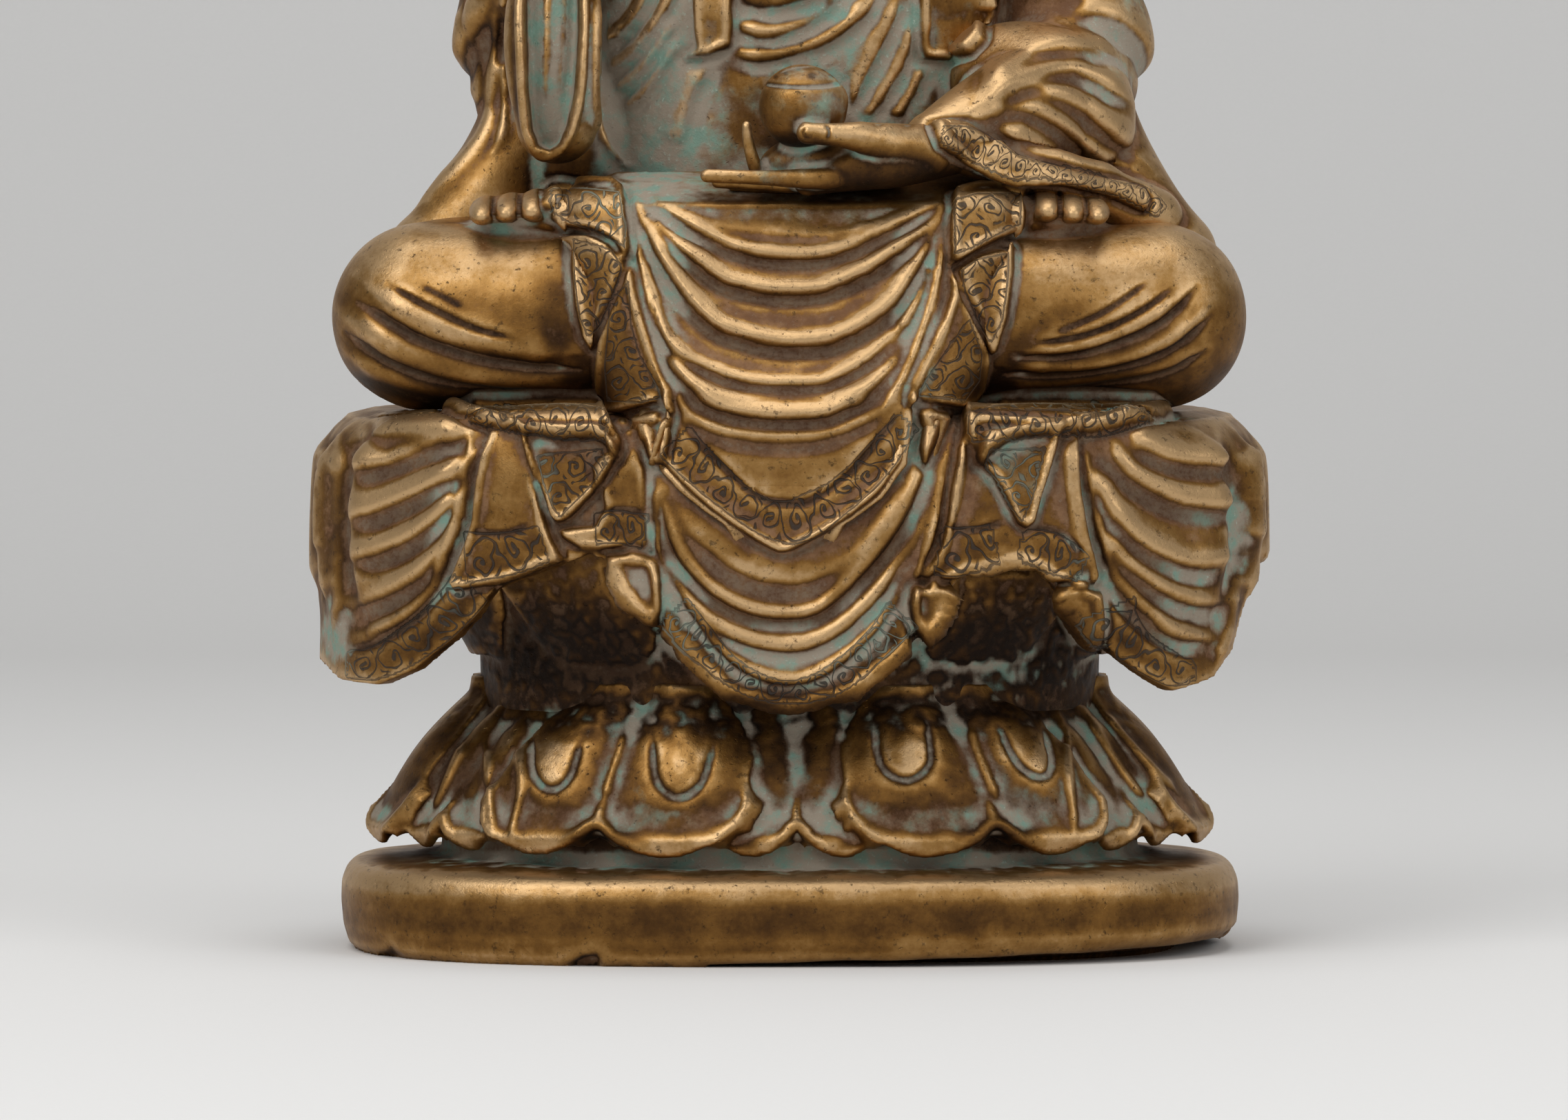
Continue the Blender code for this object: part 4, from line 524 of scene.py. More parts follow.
def build_arms(forms):
    """Make the left arm that holds the pot and the raised right arm with its sleeve."""
    left = SHOULDER_REACH
    right = -SHOULDER_REACH
    for side in (-1, 1):
        forms.blob((side * (SHOULDER_REACH - 9 * MM), 4 * MM, SHOULDER_Z - 5 * MM),
                   (20 * MM, ARM_RADIUS * 1.18, ARM_RADIUS * 1.05), (0.0, side * 26.0, 0.0))
    forms.blob((right + 6 * MM, -4 * MM, ELBOW_Z - 12 * MM), size(13, 11, 17))
    forms.blob((left - 4 * MM, -2 * MM, ELBOW_Z - 10 * MM), size(14, 12, 16))
    forearm = ((7, 0, 2, 1.04), (3, -13, -6, 1.0), (-10, -28, -9.5, 0.66), (-17, -34, -11.5, 0.40))
    forms.limb(placed(((-2, 4, -9, 1.0), (6, 3, -28, 1.05)), left, SHOULDER_Z, ARM_RADIUS)
               + placed(forearm, left, ELBOW_Z, ARM_RADIUS))
    forms.blob((left + 1 * MM, -13 * MM, ELBOW_Z - 5 * MM), size(16, 11.5, 12), (0.0, 24.0, 0.0))
    forms.limb(placed(((5, -2, -4, 0.92), (11, -8, -19, 0.70), (21, -12, -31, 0.76)), left, ELBOW_Z, ARM_RADIUS))
    cuff = ((-14, -33, -13, 3.6), (-4, -31, -16.5, 3.6), (8, -25, -18.5, 4.2), (19, -17, -24.5, 5.0))
    forms.limb(placed(cuff, left, ELBOW_Z, MM))
    forms.limb(placed(((2, 4, -9, 1.0), (-4, 3, -25, 1.0)), right, SHOULDER_Z, ARM_RADIUS)
               + placed(((-3.6, 0, 6, 0.93), (-2.0, -3, -6, 0.80)), right, ELBOW_Z, ARM_RADIUS))
    sleeve = (
        ((-1.5, -4, -8, 0.76), (-9, -8, -22, 0.62), (-18, -11, -31, 0.70)),
        ((-3, -2, 8, 0.86), (0.5, -17, 20, 0.74), (2.5, -24, 31, 0.42)),
    )
    for rows in sleeve:
        forms.limb(placed(rows, right, ELBOW_Z, ARM_RADIUS))
    mouth = ((2, -20, 24, 6.4), (2, -24, 10, 7.8), (2.0, -26, -3, 7.6), (2.4, -26, -9, 6.6))
    forms.limb(placed(mouth, right, ELBOW_Z, MM))


def build_pot_hand(forms):
    """Make the pot and the hand that holds it."""
    forms.blob((2.1 * MM, -39.5 * MM, ELBOW_Z - 6.4 * MM), (POT_RADIUS, POT_RADIUS, POT_RADIUS * 0.98))
    forms.blob((9 * MM, -35 * MM, ELBOW_Z - 14.8 * MM), size(14, 7.5, 5.4), (0, -4, 0))
    palm = ((18, -39, -14.4, 4.9), (11, -40, -15.8, 4.0), (3, -40, -18.2, 2.4))
    forms.limb(placed(((-14, -33, -13.2, 4.2),), SHOULDER_REACH, ELBOW_Z, MM) + placed(palm, 0.0, ELBOW_Z, MM))
    thumb = ((16, -41.5, -12.5, 3.6), (11, -44.6, -11.1, 2.3), (6.5, -46.4, -10.8, 1.6), (2.8, -46.8, -10.6, 1.8))
    forms.limb(placed(((-18, -37, -13.4, 4.4),), SHOULDER_REACH, ELBOW_Z, MM) + placed(thumb, 0.0, ELBOW_Z, MM))
    for k, (reach, drop) in enumerate(((-13.2, 18.6), (-11.5, 19.6), (-9.0, 20.2), (-6.0, 20.4))):
        y = (-42.0 + 4.0 * k) * MM
        forms.limb((
            (16 * MM, y + 4.0 * MM, ELBOW_Z - 15.5 * MM, FINGER_RADIUS * 1.2),
            (9 * MM, y + 0.5 * MM, ELBOW_Z - 17.6 * MM, FINGER_RADIUS * 1.1),
            (2 * MM, y - 0.5 * MM, ELBOW_Z - (drop - 0.6) * MM, FINGER_RADIUS * 0.80),
            (reach * MM, y, ELBOW_Z - (drop - 1.2) * MM, FINGER_RADIUS * 0.55),
        ))
    fingertip = ((-4.6, -37, -18, 1.4), (-6.6, -39, -14, 1.2), (-6.9, -39, -9.4, 0.8))
    forms.limb(placed(fingertip, 0.0, ELBOW_Z, MM))


def build_raised_hand(forms):
    """Make the raised open hand."""
    wrist = Vector((-SHOULDER_REACH + 2.5 * MM, -24 * MM, ELBOW_Z + 33 * MM))
    palm = wrist + Vector((0.0, -1.5 * MM, 9.0 * MM))
    forms.limb(((*wrist, 4.0 * MM), (*(wrist + Vector((0.0, -1.0 * MM, 6.0 * MM))), 4.0 * MM)))
    forms.blob(palm, size(6.6, 3.2, 7.8))
    for x, length in ((-4.7, 12.0), (-1.6, 14.5), (1.6, 15.5), (4.7, 13.5)):
        root = palm + Vector((x * MM, 0.0, 5.0 * MM))
        end = root + Vector((x * 0.12 * MM, -1.2 * MM, length * MM))
        forms.limb(((*root, FINGER_RADIUS), (*end, FINGER_RADIUS * 0.78)))
    root = palm + Vector((5.6 * MM, -0.6 * MM, -3.0 * MM))
    end = root + Vector((4.6 * MM, -2.0 * MM, 8.6 * MM))
    forms.limb(((*root, FINGER_RADIUS * 1.35), (*end, FINGER_RADIUS * 0.95)))


def build_head(forms):
    """Make the shaven head with long ears and a calm, plain face."""
    z = HEAD_Z
    wide = HEAD_HALF_WIDTH
    high = HEAD_HALF_HEIGHT
    forms.limb(((0.0, 3 * MM, SHOULDER_Z + 2 * MM, wide * 0.64), (0.0, 1 * MM, z - high * 0.75, wide * 0.56)))
    forms.blob((0.0, 2.0 * MM, z + high * 0.08), (wide, wide * 1.12, high * 0.95))
    forms.blob((0.0, -4.2 * MM, z - high * 0.28), (wide * 0.84, wide * 0.84, high * 0.80))
    forms.blob((0.0, -9.0 * MM, z - high * 0.86), (wide * 0.44, wide * 0.42, high * 0.24))
    forms.limb((
        (0.0, -15.6 * MM, z - high * 0.06, 1.5 * MM),
        (0.0, -18.4 * MM, z - high * 0.36, 2.3 * MM),
    ))
    for side in (-1, 1):
        forms.blob((side * 2.1 * MM, -16.6 * MM, z - high * 0.40), size(1.6, 1.8, 1.3))
        forms.blob((side * 5.4 * MM, -8.6 * MM, z - high * 0.38), size(8.0, 7.4, 9.4))
        forms.blob((side * 6.2 * MM, -13.9 * MM, z - high * 0.13), size(3.9, 2.5, 2.2))
        forms.blob((side * 6.2 * MM, -14.2 * MM, z + high * 0.06), size(5.0, 2.2, 1.3),
                   (0, side * 6.0, side * 18.0))
        forms.blob((side * (wide + 0.2 * MM), 1.5 * MM, z - high * 0.16), size(2.0, 4.4, 7.0),
                   (-8.0, 0.0, side * -16.0))
        forms.blob((side * (wide - 0.6 * MM), -0.4 * MM, z - high * 0.62), size(1.9, 2.8, 4.6))
    forms.blob((0.0, -15.0 * MM, z - high * 0.63), size(4.4, 2.6, 1.3))
    forms.blob((0.0, -14.7 * MM, z - high * 0.73), size(3.6, 2.6, 1.4))


# The apron's two tiers, which start from nothing at a height: (height, softness, start, full, outline)
TIERS = (
    (2.0, 0.45, 110.0, 88.0, ((-24.5, 112), (-23, 103), (-21.2, 97), (-19.5, 92), (-19.2, 88), (-20.6, 81),
        (-17, 77.5), (-13, 74), (-9, 71), (-5, 68.4), (-2, 66.8), (0, 66.9), (5, 69.4), (10, 72.7), (14, 76),
        (18, 81), (19.4, 88), (19.6, 92), (21.5, 96), (23.5, 101.5), (25, 112))),
    (1.2, 0.6, 86.0, 70.0, ((-23, 88), (-21.5, 66), (-20.6, 56), (-20, 53), (-10, 44), (0, 41.4), (10, 44), (19, 51),
        (20.5, 60), (24, 72), (26, 88))),
)

# Raised pieces of cloth: (height, softness, outline)
PANELS = (
    # Robe edges on the left of the picture, from the lap down
    (1.3, 0.45, ((-29.8, 101), (-28.5, 105), (-27, 109), (-25.3, 113), (-24.3, 108), (-23, 103), (-21.2, 97),
        (-19.5, 92), (-17.9, 88.6), (-19, 89.3), (-21.5, 90.3), (-24.5, 89.4), (-28, 89), (-29.9, 90), (-30.2, 96))),
    (1.8, 0.4, ((-35.2, 117), (-34.8, 112), (-34.2, 106), (-33, 101), (-31.6, 99), (-30.2, 101), (-28.6, 105),
        (-27, 109), (-25.9, 112), (-26, 113.3), (-28.5, 115.6), (-31.5, 117))),
    (1.8, 0.45, ((-38.8, 124.8), (-37, 125.6), (-33, 125.2), (-28, 125), (-26.2, 123.8), (-25.8, 119), (-25.4, 114.5),
        (-25.8, 113), (-27.5, 115.2), (-30, 117), (-33, 118), (-36, 118.6), (-38, 120), (-38.9, 122.5))),
    (1.9, 0.6, ((-24.5, 88.6), (-23.7, 84.4), (-22.6, 81.6), (-21.1, 80.3), (-20, 81.5), (-19, 84.5), (-18.4, 87.6),
        (-20.5, 89.4))),
    # Robe edges on the right of the picture
    (1.3, 0.45, ((25.5, 112.5), (25.7, 108), (23.5, 101.5), (21.5, 96), (19.6, 92), (18.6, 90.4), (22, 90.1),
        (28.5, 89.8), (30, 92.5), (31, 96), (31.4, 98.5), (30.2, 101), (28.8, 104.5), (27, 108.5))),
    (1.8, 0.4, ((26.5, 111.5), (29.5, 113.8), (33, 114.8), (35.8, 115), (35.5, 110), (34.6, 104), (33, 99),
        (32, 98.2), (30.8, 100.5), (29, 104.5), (27, 108.5))),
    (1.8, 0.45, ((26, 123.5), (30, 124.5), (37, 124.6), (38, 123), (37.2, 118.5), (34, 117), (30, 114.8), (27, 113),
        (25.7, 112.4), (25.4, 118))),
    (1.7, 0.6, ((19.8, 89.4), (21, 86), (20.7, 83), (21.5, 80.6), (23.3, 84), (25, 88.8), (22, 90))),
    # Cloth folded over the seat's front edge
    (1.9, 0.45, ((-55, 88.4), (-50, 87.2), (-46, 86), (-41, 84.8), (-36, 83.8), (-31, 84), (-28.4, 83), (-27.2, 81.2),
        (-26.5, 83), (-27.2, 85.2), (-29, 88), (-30, 91.4), (-50, 91.4))),
    (1.9, 0.45, ((27.4, 89.4), (27.8, 86), (29.4, 80.2), (31, 81.7), (34, 83.3), (38, 84.3), (44, 84.8), (50, 85.8),
        (55, 86.8), (61, 88.5), (58, 91), (34, 91))),
    # Panels with engraved ends
    (1.0, 0.5, ((-31, 80), (-29.4, 74), (-31, 70.8), (-36.6, 70.2), (-36.2, 69), (-33, 67.3), (-28, 67.1),
        (-22.3, 66), (-22, 72), (-23, 80), (-24, 87), (-27, 85))),
    (1.6, 0.45, ((-47.4, 86), (-48.6, 82), (-49.6, 78), (-50.3, 72), (-51.5, 68), (-52.6, 65), (-54, 62),
        (-53.2, 60.5), (-50, 61), (-45, 62), (-40, 64), (-36.4, 65.4), (-37, 67.4), (-38.6, 71), (-40, 78),
        (-42, 86))),
    (1.6, 0.45, ((27.6, 87), (26.2, 80), (25, 74), (24, 68), (22, 64.6), (21.2, 62.6), (22.5, 61.3), (26, 62.3),
        (28, 63.4), (32, 64), (36, 65), (39.5, 64), (42, 62), (45, 61.3), (48.4, 61.2), (49.3, 63), (48, 67.5),
        (47, 72), (45.8, 80), (45.8, 86))),
    # Triangular ends
    (1.8, 0.4, ((-42.4, 85.4), (-40, 78), (-39.3, 76), (-38, 72.5), (-36.8, 71.2), (-35, 72), (-31, 76),
        (-28.5, 79.5), (-27, 82), (-29, 85.4))),
    (1.8, 0.4, ((29.8, 80.4), (32, 78.5), (34, 75), (35.5, 71.7), (37, 70.4), (38.5, 71.5), (39.5, 75.5),
        (40.8, 79.5), (42.5, 85), (30, 84.4))),
    # Small tongues of cloth under the apron and the panels
    (2.2, 0.5, ((-29, 66), (-27.8, 61.8), (-25.8, 58.2), (-23.2, 56), (-21.2, 55), (-20.5, 57.6), (-20.7, 62),
        (-21.6, 65.8), (-25, 66.6))),
    (2.4, 0.6, ((19.1, 58.5), (19.9, 54), (21.5, 52.7), (23.5, 54), (25.3, 57), (26.4, 60.8), (23, 61.6),
        (19.5, 60.8))),
    (1.8, 0.6, ((42.5, 60.6), (44, 56), (46, 53), (49.5, 51.4), (50, 55), (49.6, 60), (46, 61.8))),
    # Chest cloth ends under the shoulders
    (1.5, 0.45, ((-15.5, 162), (-15, 150), (-14.6, 147), (-16.8, 145.2), (-12.5, 145.8), (-9.3, 147.3), (-9, 155),
        (-9, 162))),
    (1.5, 0.45, ((20.6, 162), (20.4, 147), (21, 145.2), (25, 144.9), (29, 146), (31, 148), (31.6, 152), (31, 162))),
    # Cuff that runs from the hand over the thigh
    (1.3, 0.5, ((22.6, 134.8), (28, 134.8), (33, 132.2), (36, 129.8), (42, 128.2), (48, 126.6), (53, 125.6),
        (56, 124.4), (57, 122.8), (56.4, 121.2), (55, 121.6), (50, 123.8), (44, 125.3), (36, 125.5), (32, 126.8),
        (28, 128.8), (24, 131.3))),
)

# Folds with a gentle slope above the crest and a steep one below: (width, height, line)
FOLDS = (
    # Robe over the chest
    (2.4, 1.8, ((-17, 202), (-13, 190), (-6, 179), (2, 171), (10, 165))),
    (2.4, 1.8, ((0, 172), (6, 180), (12, 190), (17, 202))),
    (2.0, 1.4, ((-12, 170), (-4, 163), (4, 162), (14, 166), (22, 174))),
    (2.0, 1.4, ((-10, 162), (-4, 157), (4, 157), (13, 162), (20, 168))),
    (2.4, 1.4, ((-34, 188), (-26, 174), (-20, 162))),
    (2.4, 1.4, ((34, 188), (30, 174), (28, 162))),
    # First tier of the apron
    (1.3, 0.6, ((-15, 119.8), (-8, 118.2), (0, 117.4), (8, 117.6), (16, 119.8))),
    (1.0, 1.4, ((-21.5, 122.8), (-17, 119.6), (-12, 116.8), (-6, 114.7), (0, 114), (6, 114.4), (12, 116.4),
        (18, 119.3), (24, 122.6))),
    (1.1, 1.6, ((-20.8, 118.8), (-17.5, 115.6), (-14, 112.8), (-10, 110.1), (-5, 108.8), (0, 108.4), (5, 108.7),
        (8, 109.8), (12, 111.6), (16, 114.2), (20, 117), (24.4, 121))),
    (1.2, 1.7, ((-24.6, 122.4), (-23, 119), (-20.5, 114.5), (-18, 110.4), (-15, 106.4), (-12, 103.4), (-9.5, 102),
        (-5, 100.7), (0, 100), (5, 100.3), (8, 101.1), (12, 103.2), (16, 106.4), (19, 110.6), (21.6, 115.4),
        (24.6, 120.6))),
    (0.9, 1.0, ((-21.4, 107), (-19.6, 101.6), (-16.8, 98.3), (-13, 95.8), (-8, 93.9), (-4, 93.3), (0, 93.1),
        (5, 93.4), (8, 94.6), (12, 97.1), (15, 99.8), (16.6, 101.2))),
    (1.2, 1.8, ((-20.4, 103), (-17, 95.2), (-13.5, 91.6), (-10, 89.8), (-5, 88.8), (0, 88.6), (5, 88.9), (8, 90),
        (12, 92.1), (16.5, 96.4))),
    (1.3, 0.7, ((-17, 90), (-12, 86.8), (-7, 85.7), (0, 85.4), (6, 86), (11, 88), (15.4, 91.4))),
    # Second tier
    (2.2, 1.0, ((-19.4, 77), (-16, 71.6), (-12, 67.6), (-7, 64.4), (0, 62.8), (6, 64.2), (11, 68), (15, 73.4),
        (18, 79.4))),
    (1.2, 1.7, ((-20.4, 76), (-18, 68), (-14, 62.6), (-10, 59.4), (-5, 57.4), (0, 56.9), (4, 57.7), (8, 60.6),
        (12, 64.6), (16, 69.8), (19.4, 76.4), (22, 83))),
    (1.1, 0.9, ((-19.6, 66), (-15.6, 59), (-11, 54.8), (-6, 52.4), (0, 51.6), (5, 52.8), (10, 56.2), (14.6, 61.4),
        (18.4, 68.6))),
    (0.8, 0.8, ((-18.4, 60.4), (-14, 55), (-10, 50.5), (-6, 47.6), (-2, 46.3), (2, 46.3), (6, 48), (10, 51),
        (14, 55.2), (17.6, 60.4))),
    # Folds over the shins
    (1.7, 1.0, ((-67, 108.6), (-62, 105.2), (-57, 102.5), (-52, 101), (-46, 99.7), (-40, 98.6), (-35.6, 98.2))),
    (1.7, 1.1, ((-71.4, 104.4), (-66, 101), (-61, 98.3), (-55, 96), (-48, 94.6), (-40, 93.6), (-34, 93.5))),
    (1.6, 0.9, ((-70.6, 98.4), (-65, 95.4), (-58, 93.2), (-50, 92), (-40, 91.4))),
    (1.5, 0.9, ((38, 98.8), (46, 99.8), (52, 101.6), (57, 103.8), (62, 107))),
    (1.6, 1.0, ((35, 96.2), (48, 96.8), (55, 98.3), (61, 100.8), (65.5, 104))),
    (1.5, 0.9, ((34, 93.4), (44, 93.7), (53, 95), (60, 96.8), (66, 100))),
    # Fan on the left
    (1.7, 1.1, ((-50, 86), (-56, 86.4), (-62, 86.3), (-67, 85))),
    (1.7, 1.4, ((-51, 85.4), (-58, 84), (-64, 82), (-69.6, 80))),
    (1.7, 1.5, ((-51.4, 84), (-54, 80), (-58, 77.6), (-63, 75.2), (-69.6, 72.2))),
    (1.7, 1.5, ((-51, 82), (-53.4, 77), (-56.4, 73), (-61, 69.4), (-69.6, 65.6))),
    (1.7, 1.5, ((-51, 78), (-53, 73), (-56, 67.6), (-60, 63.2), (-64, 60.8), (-69.6, 58.2))),
    (1.1, 0.9, ((-51.4, 74), (-53.6, 67), (-57, 61.6), (-62, 56.6), (-68, 53.4))),
    # Fan on the right
    (1.7, 1.4, ((53, 86.6), (57, 84), (61, 82.3), (66, 81.8), (71, 81.6))),
    (1.7, 1.5, ((51, 85), (54.4, 80), (58, 77.5), (62, 75.6), (66, 74.9), (71, 74.8))),
    (1.7, 1.5, ((47.4, 81), (49.5, 77), (53, 72), (56, 69), (60, 66.7), (64, 65.4), (70, 66))),
    (1.7, 1.5, ((47.6, 76), (50, 71), (53, 67), (56, 64), (60, 61), (64, 59.3), (69.4, 58.8))),
    (1.4, 1.3, ((48.5, 71), (51, 65.5), (54, 61), (58, 57), (61, 54.3), (67, 52.8))),
    # Sleeve over the pot arm
    (1.5, 1.0, ((30, 139.5), (35, 144), (41, 147.3), (47, 147.5), (53, 145))),
    (1.5, 1.1, ((31, 138), (37, 142.2), (43, 144), (49, 142.6), (55, 138))),
    (1.5, 1.1, ((29, 136.6), (34, 140.2), (39, 141), (45, 139), (51, 134.6), (55.6, 129.6))),
    (1.4, 1.1, ((29, 135.6), (34, 137.6), (38, 138), (43, 135.6), (48, 131.4), (54, 127.6))),
    (1.3, 0.9, ((33, 136), (36, 133), (41, 130.8), (47, 128.8), (54, 126.8))),
    # Chest
    (1.5, 1.2, ((-9, 155.6), (-4, 154), (0, 154.6), (5, 157))),
    (1.5, 1.2, ((-9, 150.9), (-4, 149.8), (0, 150.6), (5, 153.2), (9, 157))),
    (1.3, 1.1, ((-9.5, 146.7), (-5, 145.9), (0, 146.5), (5, 148.2), (10, 151.6), (14, 156))),
    (0.9, 1.1, ((-29.6, 143), (-27, 144.4), (-23.4, 148), (-19.4, 154), (-17.4, 159))),
    (0.9, 1.1, ((-28.4, 139.6), (-25, 142), (-21.4, 146.6), (-18.2, 152))),
    (0.8, 1.0, ((-26.4, 136.6), (-23, 140), (-20, 144.6), (-17.6, 148.6))),
    (0.9, 1.1, ((-30, 147.6), (-27.4, 149), (-24, 153), (-21, 159))),
    (1.2, 1.0, ((-18, 131), (-17, 135.6), (-15.6, 140.6), (-13, 144))),
    (1.3, 0.8, ((8.5, 136.5), (11, 142), (14.5, 149), (17, 155))),
    (1.3, 0.8, ((11, 134.6), (14, 139), (18, 146), (20, 152))),
    (1.3, 0.7, ((16, 135), (18.5, 139), (21, 144.6))),
)

# Rounded lines: (width, height, line)
RIDGES = (
    (0.7, 0.7, ((-24.4, 118), (-22.8, 109), (-20.8, 101), (-18.2, 94), (-15.4, 88))),
    (0.7, 0.6, ((-22.8, 114), (-21, 106), (-18.8, 99.4))),
    (0.7, 0.7, ((24.8, 119), (23.4, 110), (21, 102), (18, 94.6), (14.6, 89))),
    (0.9, 1.1, ((22.6, 113), (20, 107), (17.2, 101.6))),
    (0.8, 0.9, ((-25.2, 113.4), (-24, 107), (-22.6, 101.6), (-20.6, 95.4), (-18.2, 89.4))),
    (0.8, 0.8, ((25.9, 112), (25.4, 107), (23.2, 101), (20.8, 95), (19.2, 91))),
    (0.8, 0.8, ((-20.6, 80.6), (-17, 77.6), (-13, 74.2), (-9, 71.3), (-5, 68.8), (-2, 67.3), (0, 67.4), (5, 70),
        (10, 73.2), (14, 76.6), (18, 81.4))),
    (0.9, 0.9, ((-20.4, 53.6), (-16, 49.2), (-12, 45.9), (-8, 43.6), (-4, 42), (0, 41.5), (4, 42), (8, 43.6),
        (13, 46.9), (17, 50.6), (20, 53.4))),
    (0.7, 0.7, ((-22.2, 78), (-21.4, 70), (-20.6, 62), (-19.4, 56))),
    (0.7, 0.7, ((26, 86), (24.6, 76), (22.4, 67.6), (19.8, 61))),
    (1.0, 0.9, ((27.8, 86), (27, 80), (25.8, 73), (23.6, 66), (22, 62.8))),
    (1.0, 0.9, ((-47.9, 85), (-49.2, 79), (-50, 72), (-51.6, 67), (-53.3, 62))),
    (1.3, 1.1, ((44.2, 84.6), (44.6, 77), (46, 70), (48.4, 63.4))),
    (1.2, 1.0, ((-46, 86.4), (-41, 85.2), (-36, 84.3), (-31, 84.5), (-28.2, 83.4), (-27, 81.8))),
    (1.2, 1.0, ((29.2, 81), (30.6, 82.8), (34, 84), (39, 84.9), (45, 85.3), (51, 86.3), (56, 87.4))),
    (0.7, 0.6, ((-50.6, 86), (-51.4, 79), (-52.6, 73), (-54.4, 67), (-56.8, 62))),
    (0.7, 0.6, ((-49.6, 84), (-50.6, 78), (-51.6, 71))),
    (0.7, 0.6, ((46.8, 84), (47.4, 78), (48.6, 72), (50.8, 64.6))),
    (1.1, 1.0, ((-74.2, 84), (-74.4, 74), (-74.6, 66))),
    (0.9, 0.8, ((-71.6, 85), (-71.4, 74), (-71.6, 62), (-72.6, 52))),
    (1.2, 1.0, ((73, 84), (73.2, 75), (73.4, 68))),
    (1.0, 0.9, ((71.2, 64), (70.4, 56), (68.4, 49))),
    # Mouth of the raised arm's sleeve and the folds beside it
    (0.5, 0.7, ((-43.1, 160), (-43, 146), (-42.6, 138), (-41.8, 133), (-40.2, 130), (-38.2, 129.5), (-36, 131),
        (-34.2, 135), (-33, 142), (-32.4, 160))),
    (0.8, 0.8, ((-45.4, 157), (-45.3, 146), (-45, 138), (-45.8, 133), (-47.4, 130))),
    (0.6, 0.9, ((-30.6, 156), (-31, 146), (-31, 138), (-30, 133.4), (-28, 130), (-25.4, 128), (-22.8, 127.2))),
    (0.7, 0.5, ((-38.6, 158), (-38.8, 148), (-39.2, 138))),
    (0.7, 0.5, ((-35.8, 158), (-36.2, 148), (-37, 139))),
    (1.2, 1.0, ((-46.8, 152), (-47.2, 142), (-48, 134.6), (-52, 129), (-58, 123.8), (-62, 120.6))),
    (0.9, 0.7, ((-49.8, 156), (-49.6, 146), (-49.4, 137))),
    (0.9, 0.7, ((-51.4, 154), (-51.4, 146), (-50.8, 138))),
    (0.8, 0.8, ((23.4, 132.6), (27, 129.8), (31, 127.6), (35.6, 126.2), (43, 126), (49, 124.6))),
    # Lines along the petals
    (0.7, 0.6, ((-48.4, 37), (-47.8, 29), (-47.4, 22))),
    (0.7, 0.6, ((-43.4, 36), (-42.8, 29), (-44.6, 21))),
    (0.7, 0.6, ((-52, 36), (-54.6, 30), (-56.6, 25))),
    (0.7, 0.6, ((44.2, 38), (44.6, 30), (45.6, 22))),
    (0.7, 0.6, ((48, 40), (52, 33), (57, 26.6))),
    (0.7, 0.6, ((50, 41), (56, 34), (62, 28))),
    (0.8, 0.7, ((-29.6, 27), (-28.4, 31), (-27, 35), (-26.4, 38))),
    (0.8, 0.7, ((33, 27), (31.4, 31), (29.8, 35), (28.6, 39))),
)

# Upper edge of the chased band on the apron's first tier
TIER_BAND_TOP = (
    (-17, 87.5), (-13, 83), (-10, 80), (-7, 77), (-4, 75), (0, 74.4), (3, 74.6), (6, 76.5), (9.5, 79.5),
    (12, 82.5), (15, 86), (18, 89.5),
)

